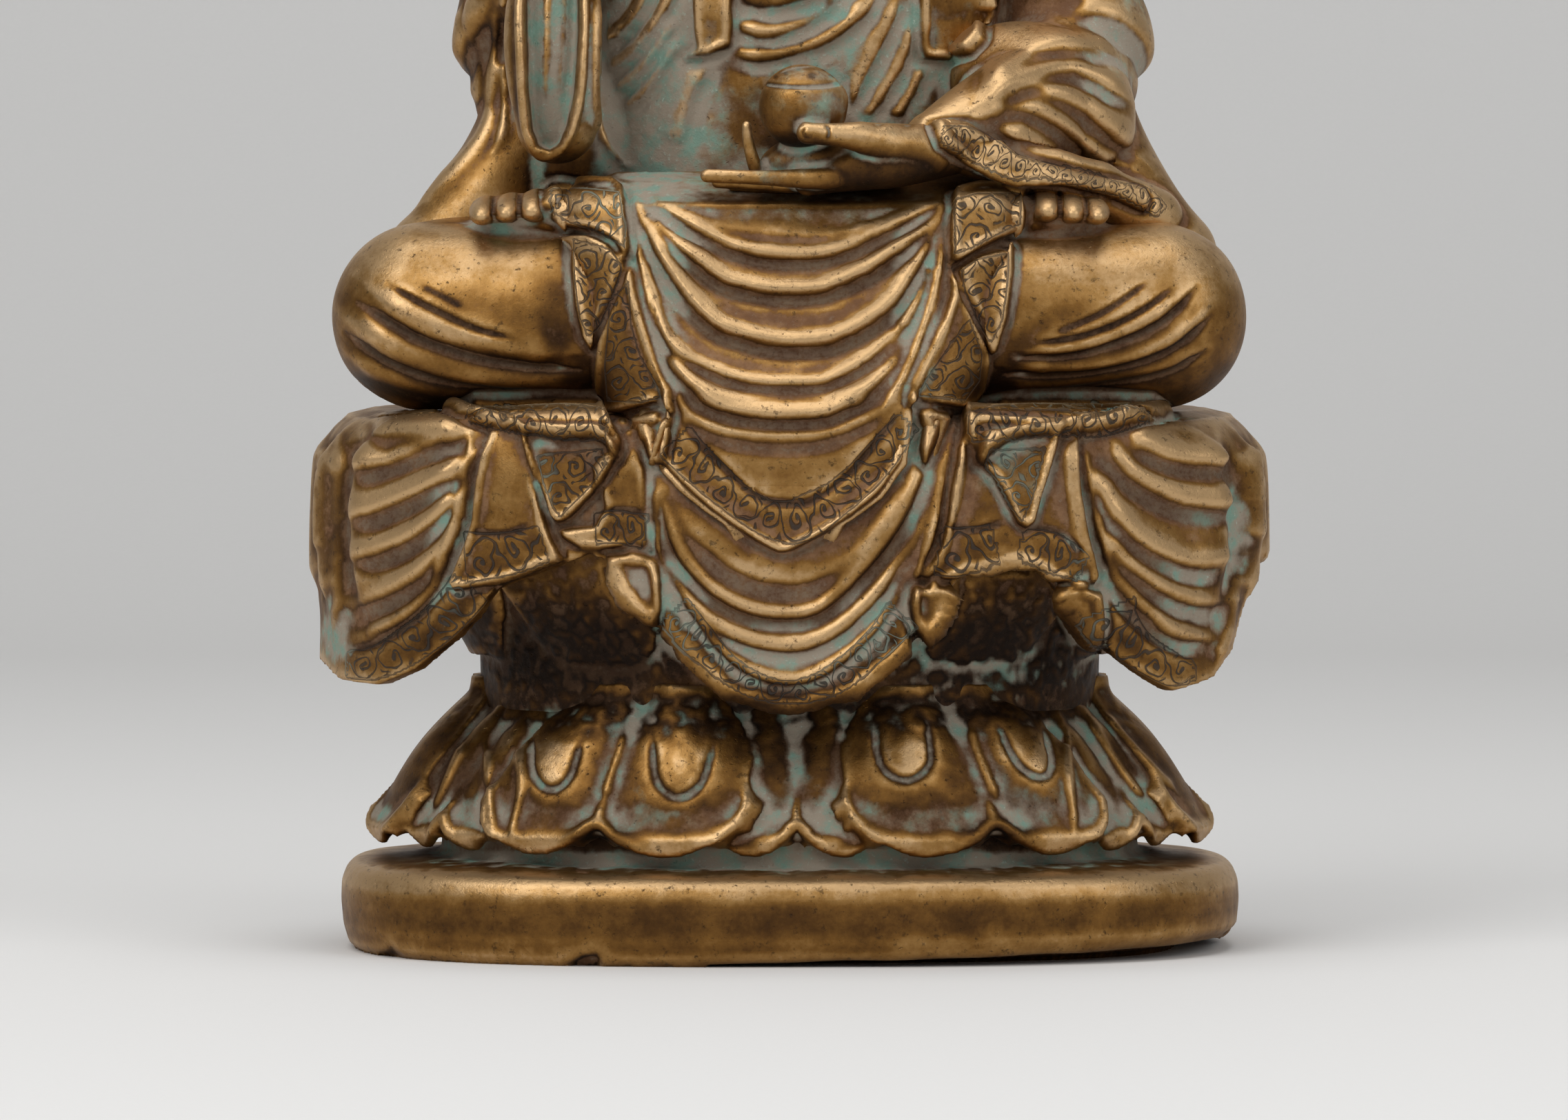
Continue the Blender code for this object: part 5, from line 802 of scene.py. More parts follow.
# Creases, sunk and with painted shade along them: (width, depth, line)
GROOVES = (
    (0.45, 0.5, ((-64, 109.2), (-60, 106.9), (-55, 104.4), (-50, 102.3), (-44, 100.8))),
    (0.4, 0.12, ((-58.6, 109), (-55, 107.2), (-52, 105.6))),
    (0.8, 0.7, ((-69, 106.4), (-64, 103.3), (-58, 100), (-50, 97.4), (-42, 96.2), (-33.4, 95.6))),
    (0.8, 0.7, ((-71, 101.6), (-66, 98), (-60, 95.3), (-52, 93.6), (-42, 92.7), (-34, 92))),
    (0.4, 0.5, ((57, 109.6), (52, 106), (48, 103.8), (42, 101.4))),
    (0.5, 0.6, ((61, 108.6), (57, 105.6), (52, 103), (46, 101), (39, 99.9))),
    (0.6, 0.7, ((65, 109), (62, 105.4), (58, 102.6), (53, 100.4), (46, 98.4), (36, 97.5))),
    (0.8, 0.7, ((67.4, 104.4), (64, 101.2), (59, 98.4), (53, 96.5), (45, 95.2), (34, 94.8))),
    (0.8, 0.7, ((66.4, 98.6), (61, 95.6), (54, 93.6), (45, 92.4), (35, 92))),
    # Pot lid, thumb nail and toes
    (0.36, 0.32, ((-5, 141.3), (-2, 140.9), (2, 140.7), (6, 140.9), (9, 141.3))),
    (0.30, 0.35, ((5.8, 134.9), (6.3, 133.6), (6, 132.4))),
    (0.30, 0.30, ((2.6, 134.4), (1.9, 133.6), (2.3, 132.8), (3.2, 132.4))),
    (0.35, 0.35, ((-43.0, 124.4), (-43.2, 119.8))),
    (0.35, 0.35, ((-47.2, 124), (-47.3, 119.8))),
    (0.35, 0.35, ((43.0, 124.4), (43.2, 119.8))),
    (0.35, 0.35, ((47.2, 124), (47.3, 119.8))),
    # Edges of the chased bands
    (0.55, 0.45, TIER_BAND_TOP),
    (0.45, 0.35, ((-50.6, 70), (-45, 69.6), (-41, 71))),
    (0.45, 0.35, ((24.6, 71), (29, 70.2), (34, 71.4))),
    (0.45, 0.35, ((38, 70.6), (42, 70), (46.6, 66.4))),
    (0.45, 0.35, ((-30.6, 73), (-27, 73.4), (-23, 72.8))),
    (0.5, 0.4, ((-52.5, 64.4), (-56, 60), (-60, 56), (-66, 52), (-71, 51))),
    (0.5, 0.4, ((50.6, 63), (52, 58.6), (56, 54), (61, 51), (65, 49.6))),
    # Round the raised ovals of the front petals
    (0.6, 0.6, ((-41.2, 38), (-41.2, 32), (-39.6, 29.2), (-37.4, 28.7), (-35, 31), (-33.2, 37))),
    (0.6, 0.6, ((-22, 37.6), (-21.6, 31), (-19.6, 28), (-17, 27.4), (-14, 29.8), (-12, 36))),
    (0.6, 0.6, ((13.4, 39), (14.4, 33), (17, 30.4), (20, 30.4), (22.6, 33.4), (21.8, 40))),
    (0.6, 0.6, ((33.4, 39), (36, 33.6), (39, 31), (41.4, 31.2), (42, 34), (40.6, 38.6))),
)

# Sleeve mouth of the raised arm, hollow tongue and two chips at the foot: (depth, softness, outline)
HOLLOWS = (
    (1.8, 0.6, ((-36.8, -2), (-35.8, 0.4), (-33, 2.0), (-30.6, 2.2), (-29.8, -2))),
    (1.5, 0.6, ((-66.2, -2), (-65.4, 2.4), (-63.6, 3.4), (-61.8, 1.8), (-60.8, -2))),
    (7.0, 0.7, ((-42, 168), (-41.9, 150), (-41.6, 140), (-41, 134), (-39.9, 131.4), (-38.3, 130.8), (-36.8, 131.8),
        (-35.5, 134.6), (-34.4, 140), (-33.7, 150), (-33.5, 168))),
    (0.8, 0.5, ((-26.8, 64.6), (-25.2, 61.2), (-23, 58.9), (-22, 60.2), (-22.4, 64.4))),
)

# Cloth on the two sides of the seat and the sleeves: (width, height, line), as (y, height)
SIDE_FOLDS = (
    (2.4, 1.6, ((-30, 85), (-29, 72), (-30, 58))),
    (2.4, 1.6, ((-18, 85), (-17, 70), (-19, 56))),
    (2.4, 1.6, ((-6, 85), (-5, 70), (-6, 58))),
    (2.4, 1.6, ((6, 85), (7, 72), (6, 62))),
    (2.6, 1.4, ((-10, 186), (4, 176), (14, 172))),
    (2.6, 1.4, ((-12, 172), (2, 160), (13, 156))),
    (2.6, 1.4, ((-14, 156), (0, 146), (12, 142))),
)

# Back of the robe and of the throne cloth: (width, height, line), seen from behind
BACK_FOLDS = (
    (3.0, 1.6, ((-34, 186), (-18, 176), (0, 172), (18, 177), (34, 188))),
    (3.0, 1.6, ((-38, 172), (-20, 160), (0, 155), (20, 160), (38, 174))),
    (3.0, 1.6, ((-38, 156), (-22, 143), (0, 138), (22, 144), (38, 158))),
    (3.0, 1.6, ((-42, 138), (-24, 127), (0, 121), (24, 127), (42, 140))),
    (2.6, 1.4, ((-52, 122), (-34, 110), (-14, 104), (0, 103))),
    (2.6, 1.4, ((0, 103), (14, 104), (34, 110), (52, 122))),
    (2.4, 1.3, ((-62, 112), (-44, 100), (-22, 95))),
    (2.4, 1.3, ((22, 95), (44, 100), (62, 112))),
)

# Chased scroll bands: (upper edge, lower edge)
BANDS = (
    (TIER_BAND_TOP,
     ((-20, 81.6), (-17, 78.8), (-13, 75.4), (-9, 72.5), (-5, 70), (-2, 68.6), (0, 68.6), (5, 71.2), (10, 74.4),
      (14, 77.8), (17.4, 82), (19.6, 86))),
    (((-17.6, 60), (-13.4, 54.5), (-9.4, 50), (-5.6, 47.2), (0, 46), (5.6, 47.4), (9.6, 50.6), (13.4, 54.6),
      (17, 59.6)),
     ((-19.8, 54.6), (-15.6, 50.2), (-11.8, 46.9), (-7.8, 44.6), (-4, 43), (0, 42.5), (4, 43), (8, 44.6),
      (12.8, 47.9), (16.6, 51.4), (19.4, 54))),
    (((-50.8, 69.6), (-46, 69.4), (-40, 70.6)),
     ((-53, 61.8), (-46, 62.8), (-41, 64.2), (-38, 65.4))),
    (((-52.5, 64), (-56, 59.6), (-60, 55.6), (-66, 51.6), (-71, 50.6)),
     ((-49, 58.4), (-51, 56), (-55, 52.3), (-61, 48.4), (-66, 46.4), (-71, 46.8))),
    (((-30.6, 72.6), (-27, 73), (-22.8, 72.4)),
     ((-32, 68), (-28, 68.2), (-22.8, 67.2))),
    (((24.8, 70.6), (28, 70), (33, 71)),
     ((22.4, 63.4), (26, 63.2), (33, 65))),
    (((37, 70.4), (42, 69.6), (46.4, 66)),
     ((36.4, 66), (41, 63.6), (47.6, 62))),
    (((50.8, 62.6), (52.2, 58.2), (56, 53.6), (61, 50.6), (65, 49.2)),
     ((49.6, 52.4), (51, 51), (54, 49.2), (58, 46.8), (61.5, 45.2), (65, 46.4))),
    (((-52, 89.4), (-46, 90), (-36, 90.2), (-29.4, 89.4)),
     ((-51, 87.6), (-46, 86.4), (-41, 85.4), (-34, 84.6), (-28.4, 84.6))),
    (((28.4, 89), (34, 90), (48, 90), (58, 89)),
     ((28.4, 84.4), (34, 84.6), (40, 85.4), (47, 86), (57, 87.6))),
    (((23.6, 134.4), (28, 134.4), (33, 131.8), (36, 129.4), (42, 127.8), (48, 126.2), (57, 124.6), (60, 121.8)),
     ((24.6, 132), (28.4, 129.8), (32, 127.8), (36, 126.6), (44, 126.2), (50, 124.6), (55, 122.2), (58.6, 119.6))),
)

# Chased scroll fields: outlines of lapels and triangular ends
FIELDS = (
    ((-38, 124.6), (-33, 124.6), (-27.2, 124), (-26.4, 119), (-26.4, 115.4), (-31, 118), (-35, 119.2), (-37.8, 121)),
    ((-34.4, 116.4), (-34.2, 110), (-33.4, 104), (-32, 101), (-30.2, 103), (-28.2, 107.8), (-26.8, 112),
        (-28.5, 114.8)),
    ((-28.6, 106.4), (-25.8, 109.6), (-25.4, 103), (-24, 98), (-21.4, 93.4), (-20.6, 91.2), (-24, 90.6), (-29, 90.8),
        (-29.4, 96), (-28.9, 102)),
    ((26.4, 122.8), (30, 123.8), (36.8, 123.8), (36.6, 119), (33.6, 117.6), (29, 115.2), (26.4, 114.2)),
    ((27.4, 111.4), (29.8, 113.2), (34.8, 114.2), (34.6, 109), (33.8, 103.6), (32, 100), (30, 103.6), (28, 108.4)),
    ((28.6, 103.6), (25, 98.6), (21.8, 94), (20.6, 91.6), (28, 91), (30.2, 94), (30.6, 98), (29.4, 101.6)),
    ((-40.2, 82), (-39, 77), (-37.4, 73.4), (-36.6, 72.4), (-32, 77), (-29.4, 80.6), (-30, 83)),
    ((31.2, 80.4), (33.2, 78), (35, 74.4), (37, 71.6), (38.6, 75), (39.8, 80), (40.8, 83.2), (32, 82.8)),
)

# Length of one curl in a field, in millimetres, and in a band, in band widths
FIELD_PITCH = 4.6
BAND_PITCH = 0.85
BAND_STEPS = 40

# Shape of a fold above and below its crest, in widths, and how far it is undercut
UPPER_SLOPE = 1.9
LOWER_SLOPE = 0.85
UNDERCUT = 0.45

# How far from its line a ridge and a fold reach, in widths, and the share of the line that fades at each end
RIDGE_REACH = 3.0
RIDGE_TAPER = 0.14
FOLD_REACH = 4.5
FOLD_TAPER = 0.18

# Places with more verdigris, with painted shade and dark patina, and with polish and painted highlights: (x, height,
# half width, half height, amount)
GREEN_PLACES = (
    (-38, 142, 5, 16, 0.8), (-22, 138, 11, 18, 1.25), (0, 39, 48, 3, 0.5), (-28, 26, 14, 7, 0.3),
    (24, 26, 14, 7, 0.3), (0, 24, 10, 5, 0.4), (-52, 24, 6, 4, 0.5), (52, 24, 6, 6, 0.55), (10, 146, 16, 14, 0.85),
    (0, 121.6, 24, 3, 0.5), (54, 148, 6, 10, 0.95), (-4, 127, 10, 4, 0.8), (36, 79, 5, 6, 0.5), (0, 50, 15, 4, 0.45),
    (-18, 56, 4, 8, 0.5), (15, 54, 6, 6, 0.55), (48, 62, 4, 12, 0.4), (-54, 66, 3, 14, 0.35), (66, 58, 6, 12, 0.3),
    (20, 98, 3, 22, 0.5), (-20, 108, 3, 20, 0.45), (-73, 52, 3, 6, 1.0), (72, 70, 2, 6, 0.8), (64, 88, 8, 2, 0.5),
    (-39, 78, 2, 6, 0.5), (-38, 33, 5, 8, 0.4), (-17, 33, 6, 8, 0.4), (18, 35, 6, 8, 0.45), (38, 30, 6, 10, 0.55),
    (48, 34, 5, 10, 0.4), (0, 17, 70, 1.6, 0.7), (-65.5, 24, 2, 2.4, 1.0), (0, 30, 6, 8, 0.35),
    (-24, 61, 1.5, 3, 0.5), (30, 47, 16, 4, 0.4), (-45, 119, 10, 1.4, 0.4), (-36, 107, 1.2, 10, 0.35),
    (36.6, 106, 1.2, 12, 0.4), (-45, 90.6, 16, 1.2, 0.45), (48, 90.6, 16, 1.2, 0.5), (-22, 74, 1.6, 10, 0.4),
    (-9, 118.8, 10, 1.2, 0.4), (31, 126, 3, 2, 0.5),
)
# Dark places: mostly painted shade where shadow falls, in the gap under the hanging cloth, under the knees and the
# petal lobes and low on the plinth's face, with dark patina and the punched dots of the pot's lid
SHADE_AND_DARK_PATINA_PLACES = (
    (-46, 94, 22, 5, 0.5), (47, 93.4, 20, 5, 0.45), (2, 138, 7, 6, 0.22), (-34, 50.5, 19, 7.6, 0.95),
    (34, 50.5, 19, 7.6, 0.95), (0, 41, 50, 4, 0.9), (-16, 125, 14, 2.4, 0.3), (10, 127, 18, 3, 0.5),
    (-30, 127, 12, 3.4, 0.8), (30, 125.6, 8, 2, 0.5), (0, 123, 22, 1.6, 0.6), (-30, 20, 6, 3, 0.9),
    (33, 21, 6, 3, 0.9), (-28, 27, 22, 7, 0.3), (26, 27, 22, 7, 0.3), (0, 26, 8, 6, 0.3), (-70, 108, 2.4, 6, 0.2),
    (0, 36, 10, 6, 0.6), (-57, 32, 9, 7, 0.45), (56, 36, 10, 7, 0.5), (0, 7, 76, 5.5, 0.28), (2, 131.6, 6, 2, 0.8),
    (0, 17, 66, 1.2, 0.5), (-49, 57.6, 4, 3, 0.35), (-37, 103.6, 3, 9, 0.3), (-0.6, 142.9, 0.4, 0.3, 0.9),
    (1.4, 143.6, 0.4, 0.3, 0.9), (6.6, 142.5, 0.4, 0.3, 0.9), (5.6, 143.5, 0.4, 0.25, 0.9),
    (3.5, 142.5, 0.7, 0.5, 0.9), (-2.2, 142.3, 0.35, 0.3, 0.9),
)
# Bright places: polish on raised ovals, edges and the hand, and painted highlights where the lamps catch the knees and
# the fans
POLISH_AND_HIGHLIGHT_PLACES = (
    (-56, 113, 16, 4.6, 0.75), (53, 112, 16, 4.6, 0.75), (0, 79, 10, 4, 0.8), (-22.8, 101, 2, 10, 0.5),
    (23.4, 100, 2, 10, 0.5), (12, 133.6, 12, 1.6, 0.7), (-50, 117.4, 12, 1.4, 0.6), (50, 117.4, 12, 1.4, 0.6),
    (43, 139, 14, 10, 0.6), (44, 130, 14, 5, 0.5), (-24, 60, 3, 5, 0.7), (22.6, 57, 2.4, 3.6, 0.6),
    (-45, 122, 6, 1.6, 0.5), (45, 122, 6, 1.6, 0.5), (0, 101, 16, 16, 0.5), (0, 60, 14, 10, 0.4),
    (-37.6, 33.6, 1.4, 2.6, 0.9), (-17.6, 32.8, 1.2, 2, 0.8), (19, 33.6, 1.2, 2, 0.9), (39.6, 33, 1.2, 1.8, 0.7),
    (-45, 77, 4, 8, 0.35), (27, 77, 1.6, 8, 0.5), (-61, 74, 9, 11, 0.8), (60, 74, 9, 12, 0.7),
    (-34, 18.8, 12, 1.2, 0.6), (-38, 88, 14, 2, 0.5), (44, 87, 14, 2, 0.4), (-32, 108, 3, 8, 0.4),
    (31, 108, 3, 8, 0.4),
)

# Places where the cast skin is rough: (x, height, half width, half height, amount in mm)
ROUGH_PLACES = (
    (-34, 53, 20, 12, 0.28), (34, 53, 19, 12, 0.28), (0, 41, 52, 4, 0.30), (0, 30, 62, 10, 0.07),
    (-22, 138, 9, 14, 0.16), (0, 17, 70, 2, 0.20), (0, 108, 22, 16, 0.07), (0, 60, 18, 14, 0.07),
)
ROUGH_GRAIN = 2.6 * MM
WOBBLE = 0.10 * MM
WOBBLE_LENGTH = 11.0 * MM


def read_rows(collection, key, width, kind=float):
    """Read a property of all points, edges or corners of a mesh as rows."""
    block = np.empty(len(collection) * width, dtype=kind)
    collection.foreach_get(key, block)
    return block.reshape(-1, width)


def in_sight(u, v, depth, facing):
    """Weigh points by how far they face the eye and lie near the frontmost skin."""
    column = np.floor(u / SIGHT_CELL).astype(int)
    row = np.floor(v / SIGHT_CELL).astype(int)
    column -= column.min() - 1
    row -= row.min() - 1
    nearest = np.full((column.max() + 2, row.max() + 2), np.inf)
    front = facing > 0.1
    np.minimum.at(nearest, (column[front], row[front]), depth[front])
    behind = np.clip(2.0 - (depth - nearest[column, row]) / SIGHT_DEPTH, 0.0, 1.0)
    turned = np.clip((facing + 0.10) / 0.35, 0.0, 1.0)
    return behind * ease(turned)


def ease(share):
    """Turn a straight rise from 0 to 1 into one with soft ends."""
    return share * share * (3.0 - 2.0 * share)


def ends_taper(share, length):
    """Return 1 along a line and a soft fall to 0 at its two ends."""
    return ease(np.clip(np.minimum(share, 1.0 - share) / length, 0.0, 1.0))


def bell(distance, width):
    """Return 1 at no distance and a soft fall to 0 over a few widths."""
    return np.exp(-(distance / width) ** 2)


def depth_inside(distance, u, v, outline):
    """Return how far points lie inside a closed outline, below 0 outside it."""
    out = np.zeros(len(u), dtype=bool)
    for a, b in zip(outline[:-1], outline[1:]):
        cross = (a[1] > v) != (b[1] > v)
        slope = (b[0] - a[0]) / (b[1] - a[1] if b[1] != a[1] else 1e-12)
        out ^= cross & (u < a[0] + slope * (v - a[1]))
    return np.where(out, distance, -distance)


def grain_noise(points, grain):
    """Return smooth noise of a grain at each point."""
    return np.array([noise.noise(Vector(point)) for point in (points / grain).tolist()])


class Skin:
    """The fused surfaces of all pieces as arrays, with the tools that carve them."""

    def __init__(self, meshes):
        self.meshes = meshes
        self.starts = np.cumsum([0] + [len(data.vertices) for data in meshes])
        self.points = np.empty((self.starts[-1], 3))
        edges = []
        for k, data in enumerate(meshes):
            self.points[self.starts[k]:self.starts[k + 1]] = read_rows(data.vertices, "co", 3)
            edges.append(read_rows(data.edges, "vertices", 2, np.int64) + self.starts[k])
        self.edges = np.concatenate(edges)
        self.valence = np.bincount(self.edges.ravel(), minlength=len(self.points)).astype(float)
        self.scroll = np.zeros((len(self.points), 3))
        self.shade = np.zeros(len(self.points))
        self.read_normals()

    def read_normals(self):
        """Read the vertex normals of the meshes."""
        self.normals = np.empty_like(self.points)
        for k, data in enumerate(self.meshes):
            self.normals[self.starts[k]:self.starts[k + 1]] = read_rows(data.vertices, "normal", 3)

    def write(self):
        """Put the points back into the meshes."""
        for k, data in enumerate(self.meshes):
            data.vertices.foreach_set("co", self.points[self.starts[k]:self.starts[k + 1]].ravel())
            data.update()
        self.read_normals()

    def spread(self, values, passes):
        """Average values over neighbours a number of times."""
        a, b = self.edges.T
        out = np.array(values, dtype=float)
        flat = out.ndim == 1
        columns = [out] if flat else [out[:, k] for k in range(out.shape[1])]
        for _ in range(passes):
            fresh = []
            for column in columns:
                near = np.bincount(a, weights=column[b], minlength=len(column))
                near += np.bincount(b, weights=column[a], minlength=len(column))
                fresh.append(0.5 * column + 0.5 * near / self.valence)
            columns = fresh
        return columns[0] if flat else np.stack(columns, axis=1)

    def look(self, place="front"):
        """Project the points as the tables see them, and weigh those in sight."""
        x, y, z = self.points.T
        if place == "front":
            shrink = 1.0 + (y - FRONT_PLANE) / EYE_DISTANCE
            self.u = x / shrink
            self.v = EYE_HEIGHT + (z - EYE_HEIGHT) / shrink
        else:
            self.u = -x if place == "back" else y
            self.v = z
        normal_x, normal_y, _ = self.normals.T
        depth, facing = {
            "front": (y, -normal_y), "back": (-y, normal_y), "left": (-x, normal_x), "right": (x, -normal_x),
        }[place]
        self.seen = in_sight(self.u, self.v, depth, facing)

    def near_line(self, line, reach, closed=False):
        """Find the seen points near a line: index, distance, side, place along it, its length, (u, v, line)."""
        p = smooth_line(line) * MM if not closed else np.array(list(line) + [line[0]]) * MM
        low = p.min(axis=0) - reach
        high = p.max(axis=0) + reach
        box = (self.u > low[0]) & (self.u < high[0]) & (self.v > low[1]) & (self.v < high[1])
        index = np.nonzero(box & (self.seen > 0.0))[0]
        u = self.u[index]
        v = self.v[index]
        best = np.full(len(index), np.inf)
        side = np.zeros(len(index))
        place = np.zeros(len(index))
        spans = np.linalg.norm(np.diff(p, axis=0), axis=1)
        run = np.concatenate([[0.0], np.cumsum(spans)])
        for k in range(len(p) - 1):
            d = p[k + 1] - p[k]
            length = max(spans[k], 1e-9)
            t = np.clip(((u - p[k, 0]) * d[0] + (v - p[k, 1]) * d[1]) / length ** 2, 0.0, 1.0)
            du = u - (p[k, 0] + t * d[0])
            dv = v - (p[k, 1] + t * d[1])
            distance = np.hypot(du, dv)
            closer = distance < best
            best[closer] = distance[closer]
            side[closer] = np.sign(d[0] * dv - d[1] * du)[closer]
            place[closer] = (run[k] + t * length)[closer]
        return index, best, side, place, run[-1], (u, v, p)

    def push(self, index, amount):
        """Move points along their normals by as much as they are in sight."""
        self.points[index] += self.normals[index] * (amount * self.seen[index])[:, None]

    def ridge(self, width, height, line):
        """Raise or sink a rounded line; a sunk one also gets painted shade along it."""
        w = width * MM
        index, distance, _, place, total, _ = self.near_line(line, RIDGE_REACH * w)
        taper = ends_taper(place / total, RIDGE_TAPER)
        amount = height * MM * bell(distance, w * (0.45 + 0.55 * taper)) * (0.25 + 0.75 * taper)
        self.push(index, amount)
        if height < 0.0:
            self.darken(index, 0.9 * bell(distance, w) * taper)

    def fold(self, width, height, line):
        """Raise a fold that slopes gently above its crest and drops steeply below it, with painted shade in the hollow
        under the crest.
        """
        w = width * MM
        h = height * MM
        index, distance, side, place, total, _ = self.near_line(line, FOLD_REACH * w)
        taper = ends_taper(place / total, FOLD_TAPER)
        signed = distance * side * (-1.0 if line[-1][0] > line[0][0] else 1.0)
        slope = np.where(signed < 0.0, UPPER_SLOPE, LOWER_SLOPE) * w * (0.5 + 0.5 * taper)
        under = bell(signed - 1.75 * w, 0.85 * w)
        amount = h * bell(distance, slope) - UNDERCUT * h * under
        self.push(index, amount * (0.15 + 0.85 * taper))
        self.darken(index, 0.38 * under * taper * np.clip(height, 0.0, 1.2))

    def darken(self, index, amount):
        """Note how much painted shade a point gets, at the bottom of a crease, under a fold's crest or beside a
        panel's edge.
        """
        self.shade[index] = np.maximum(self.shade[index], amount * self.seen[index])

    def patch(self, height, softness, outline, straight=False, fade=None):
        """Raise the inside of an outline, or sink it, along the normals or straight back; a raised one without a fade
        gets painted shade just outside its edge.
        """
        soft = softness * MM
        index, distance, _, _, _, (u, v, p) = self.near_line(outline, 4.0 * soft + 1.0 * MM, closed=True)
        signed = depth_inside(distance, u, v, p)
        amount = height * MM * ease(np.clip(0.5 + signed / (2.0 * soft), 0.0, 1.0))
        if height > 0.0:
            amount -= 0.35 * height * MM * bell(signed + 1.4 * soft, soft)
            amount += 0.32 * height * MM * bell(signed - 1.7 * soft, soft)
        if fade is not None:
            amount *= np.clip((fade[0] * MM - v) / ((fade[0] - fade[1]) * MM), 0.0, 1.0)
        elif height > 0.0:
            self.darken(index, 0.35 * bell(signed + 1.2 * soft, soft))
        if straight:
            self.points[index, 1] -= amount * self.seen[index]
        else:
            self.push(index, amount)

    def set_scroll(self, index, along, across, mask):
        """Store scroll coordinates where they count more than what is stored."""
        better = mask > self.scroll[index, 2]
        self.scroll[index[better]] = np.stack([along, across, mask], axis=1)[better]

    def band(self, upper, lower):
        """Lay scroll coordinates between two edges."""
        t = np.linspace(0.0, 1.0, BAND_STEPS)
        edges = []
        for edge in (smooth_line(upper), smooth_line(lower)):
            along = np.linspace(0, 1, len(edge))
            edges.append(np.stack([np.interp(t, along, edge[:, k]) for k in (0, 1)], axis=1))
        top, bottom = edges
        middle = 0.5 * (top + bottom)
        half = 0.5 * np.linalg.norm(top - bottom, axis=1) * MM
        index, distance, side, place, total, _ = self.near_line(middle[::3], 1.3 * half.max())
        here = np.interp(place / total, t, half)
        across = distance * side / here
        mask = np.clip((1.12 - np.abs(across)) / 0.16, 0.0, 1.0) * self.seen[index]
        mask *= (place > 0.2 * MM) & (place < total - 0.2 * MM)
        pitch = BAND_PITCH * 2.0 * np.median(half) / MM
        self.set_scroll(index, place / MM / pitch, 0.5 + 0.5 * across, mask)

    def field(self, outline):
        """Lay scroll coordinates inside an outline."""
        index, distance, _, _, _, (u, v, p) = self.near_line(outline, 2.0 * MM, closed=True)
        signed = depth_inside(distance, u, v, p)
        mask = np.clip((signed + 0.3 * MM) / (0.5 * MM), 0.0, 1.0) * self.seen[index]
        self.set_scroll(index, u / MM / FIELD_PITCH + 31.0, v / MM / FIELD_PITCH + 17.0, mask)

    def roughen(self, rows):
        """Give all of the skin a hand-made wobble, and some places the grain of a cast."""
        x, y, z = (self.points / WOBBLE_LENGTH).T
        wobble = np.sin(2.1 * x + 1.3 * z) * np.sin(1.7 * z - 0.9 * y) + 0.6 * np.sin(4.3 * x - 2.9 * z + 1.1 * y)
        self.points += self.normals * (WOBBLE * wobble)[:, None]
        amount = self.places(rows) * np.clip(self.seen * 2.0, 0.0, 1.0)
        index = np.nonzero(amount > 0.02)[0]
        lumps = grain_noise(self.points[index], ROUGH_GRAIN)
        lumps += 0.5 * grain_noise(self.points[index], 0.4 * ROUGH_GRAIN)
        self.points[index] += self.normals[index] * (amount[index] * MM * lumps)[:, None]

    def places(self, rows):
        """Return how strongly soft oval places of the picture cover each point."""
        out = np.zeros(len(self.points))
        for x, z, half_x, half_z, amount in rows:
            d = np.hypot((self.u / MM - x) / half_x, (self.v / MM - z) / half_z)
            out = np.maximum(out, amount * np.clip(1.6 - d, 0.0, 1.0))
        return out


def fuse(forms, cell, softening):
    """Fuse overlapping solids into one closed skin."""
    data = bpy.data.meshes.new("forms")
    data.from_pydata(np.concatenate(forms.points).tolist(), [], forms.faces)
    item = bpy.data.objects.new("forms", data)
    bpy.context.scene.collection.objects.link(item)
    fusing = item.modifiers.new("Fuse", "REMESH")
    fusing.mode = "VOXEL"
    fusing.voxel_size = cell
    fusing.adaptivity = 0.0
    soften = item.modifiers.new("Soften", "SMOOTH")
    soften.factor = 0.5
    soften.iterations = softening
    out = evaluated_mesh(item)
    bpy.data.objects.remove(item, do_unlink=True)
    bpy.data.meshes.remove(data)
    return largest_piece(out)


def evaluated_mesh(item):
    """Return the mesh of an object with its modifiers applied."""
    bpy.context.view_layer.update()
    graph = bpy.context.evaluated_depsgraph_get()
    return bpy.data.meshes.new_from_object(item.evaluated_get(graph))


def largest_piece(data):
    """Rebuild a mesh from its largest connected piece alone."""
    a, b = read_rows(data.edges, "vertices", 2, np.int64).T
    label = np.arange(len(data.vertices))
    while True:
        low = np.minimum(label[a], label[b])
        fresh = label.copy()
        np.minimum.at(fresh, label[a], low)
        np.minimum.at(fresh, label[b], low)
        fresh = fresh[fresh]
        if np.array_equal(fresh, label):
            break
        label = fresh
    keep = label == np.bincount(label).argmax()
    if keep.all():
        return data
    points = read_rows(data.vertices, "co", 3)
    quads = read_rows(data.loops, "vertex_index", 1, np.int64).reshape(-1, 4)
    quads = quads[keep[quads[:, 0]]]
    fresh_index = np.cumsum(keep) - 1
    out = bpy.data.meshes.new("skin")
    out.from_pydata(points[keep].tolist(), [], fresh_index[quads].tolist())
    bpy.data.meshes.remove(data)
    return out


def carve(skin):
    """Carve the folds, cloth edges and hollows into the skin."""
    skin.look()
    for height, softness, start, full, outline in TIERS:
        skin.patch(height, softness, outline, fade=(start, full))
    for height, softness, outline in PANELS:
        skin.patch(height, softness, outline)
    for width, height, line in FOLDS:
        skin.fold(width, height, line)
    for width, height, line in RIDGES:
        skin.ridge(width, height, line)
    for width, depth, line in GROOVES:
        skin.ridge(width, -depth, line)
    for depth, softness, outline in HOLLOWS:
        skin.patch(-depth, softness, outline, straight=True)
    for place, table in (("left", SIDE_FOLDS), ("right", SIDE_FOLDS), ("back", BACK_FOLDS)):
        skin.look(place)
        for width, height, line in table:
            skin.fold(width, height, line)
    skin.look()
    skin.roughen(ROUGH_PLACES)
    skin.points[skin.points[:, 2] < FOOT_LEVEL, 2] = 0.0
    skin.write()


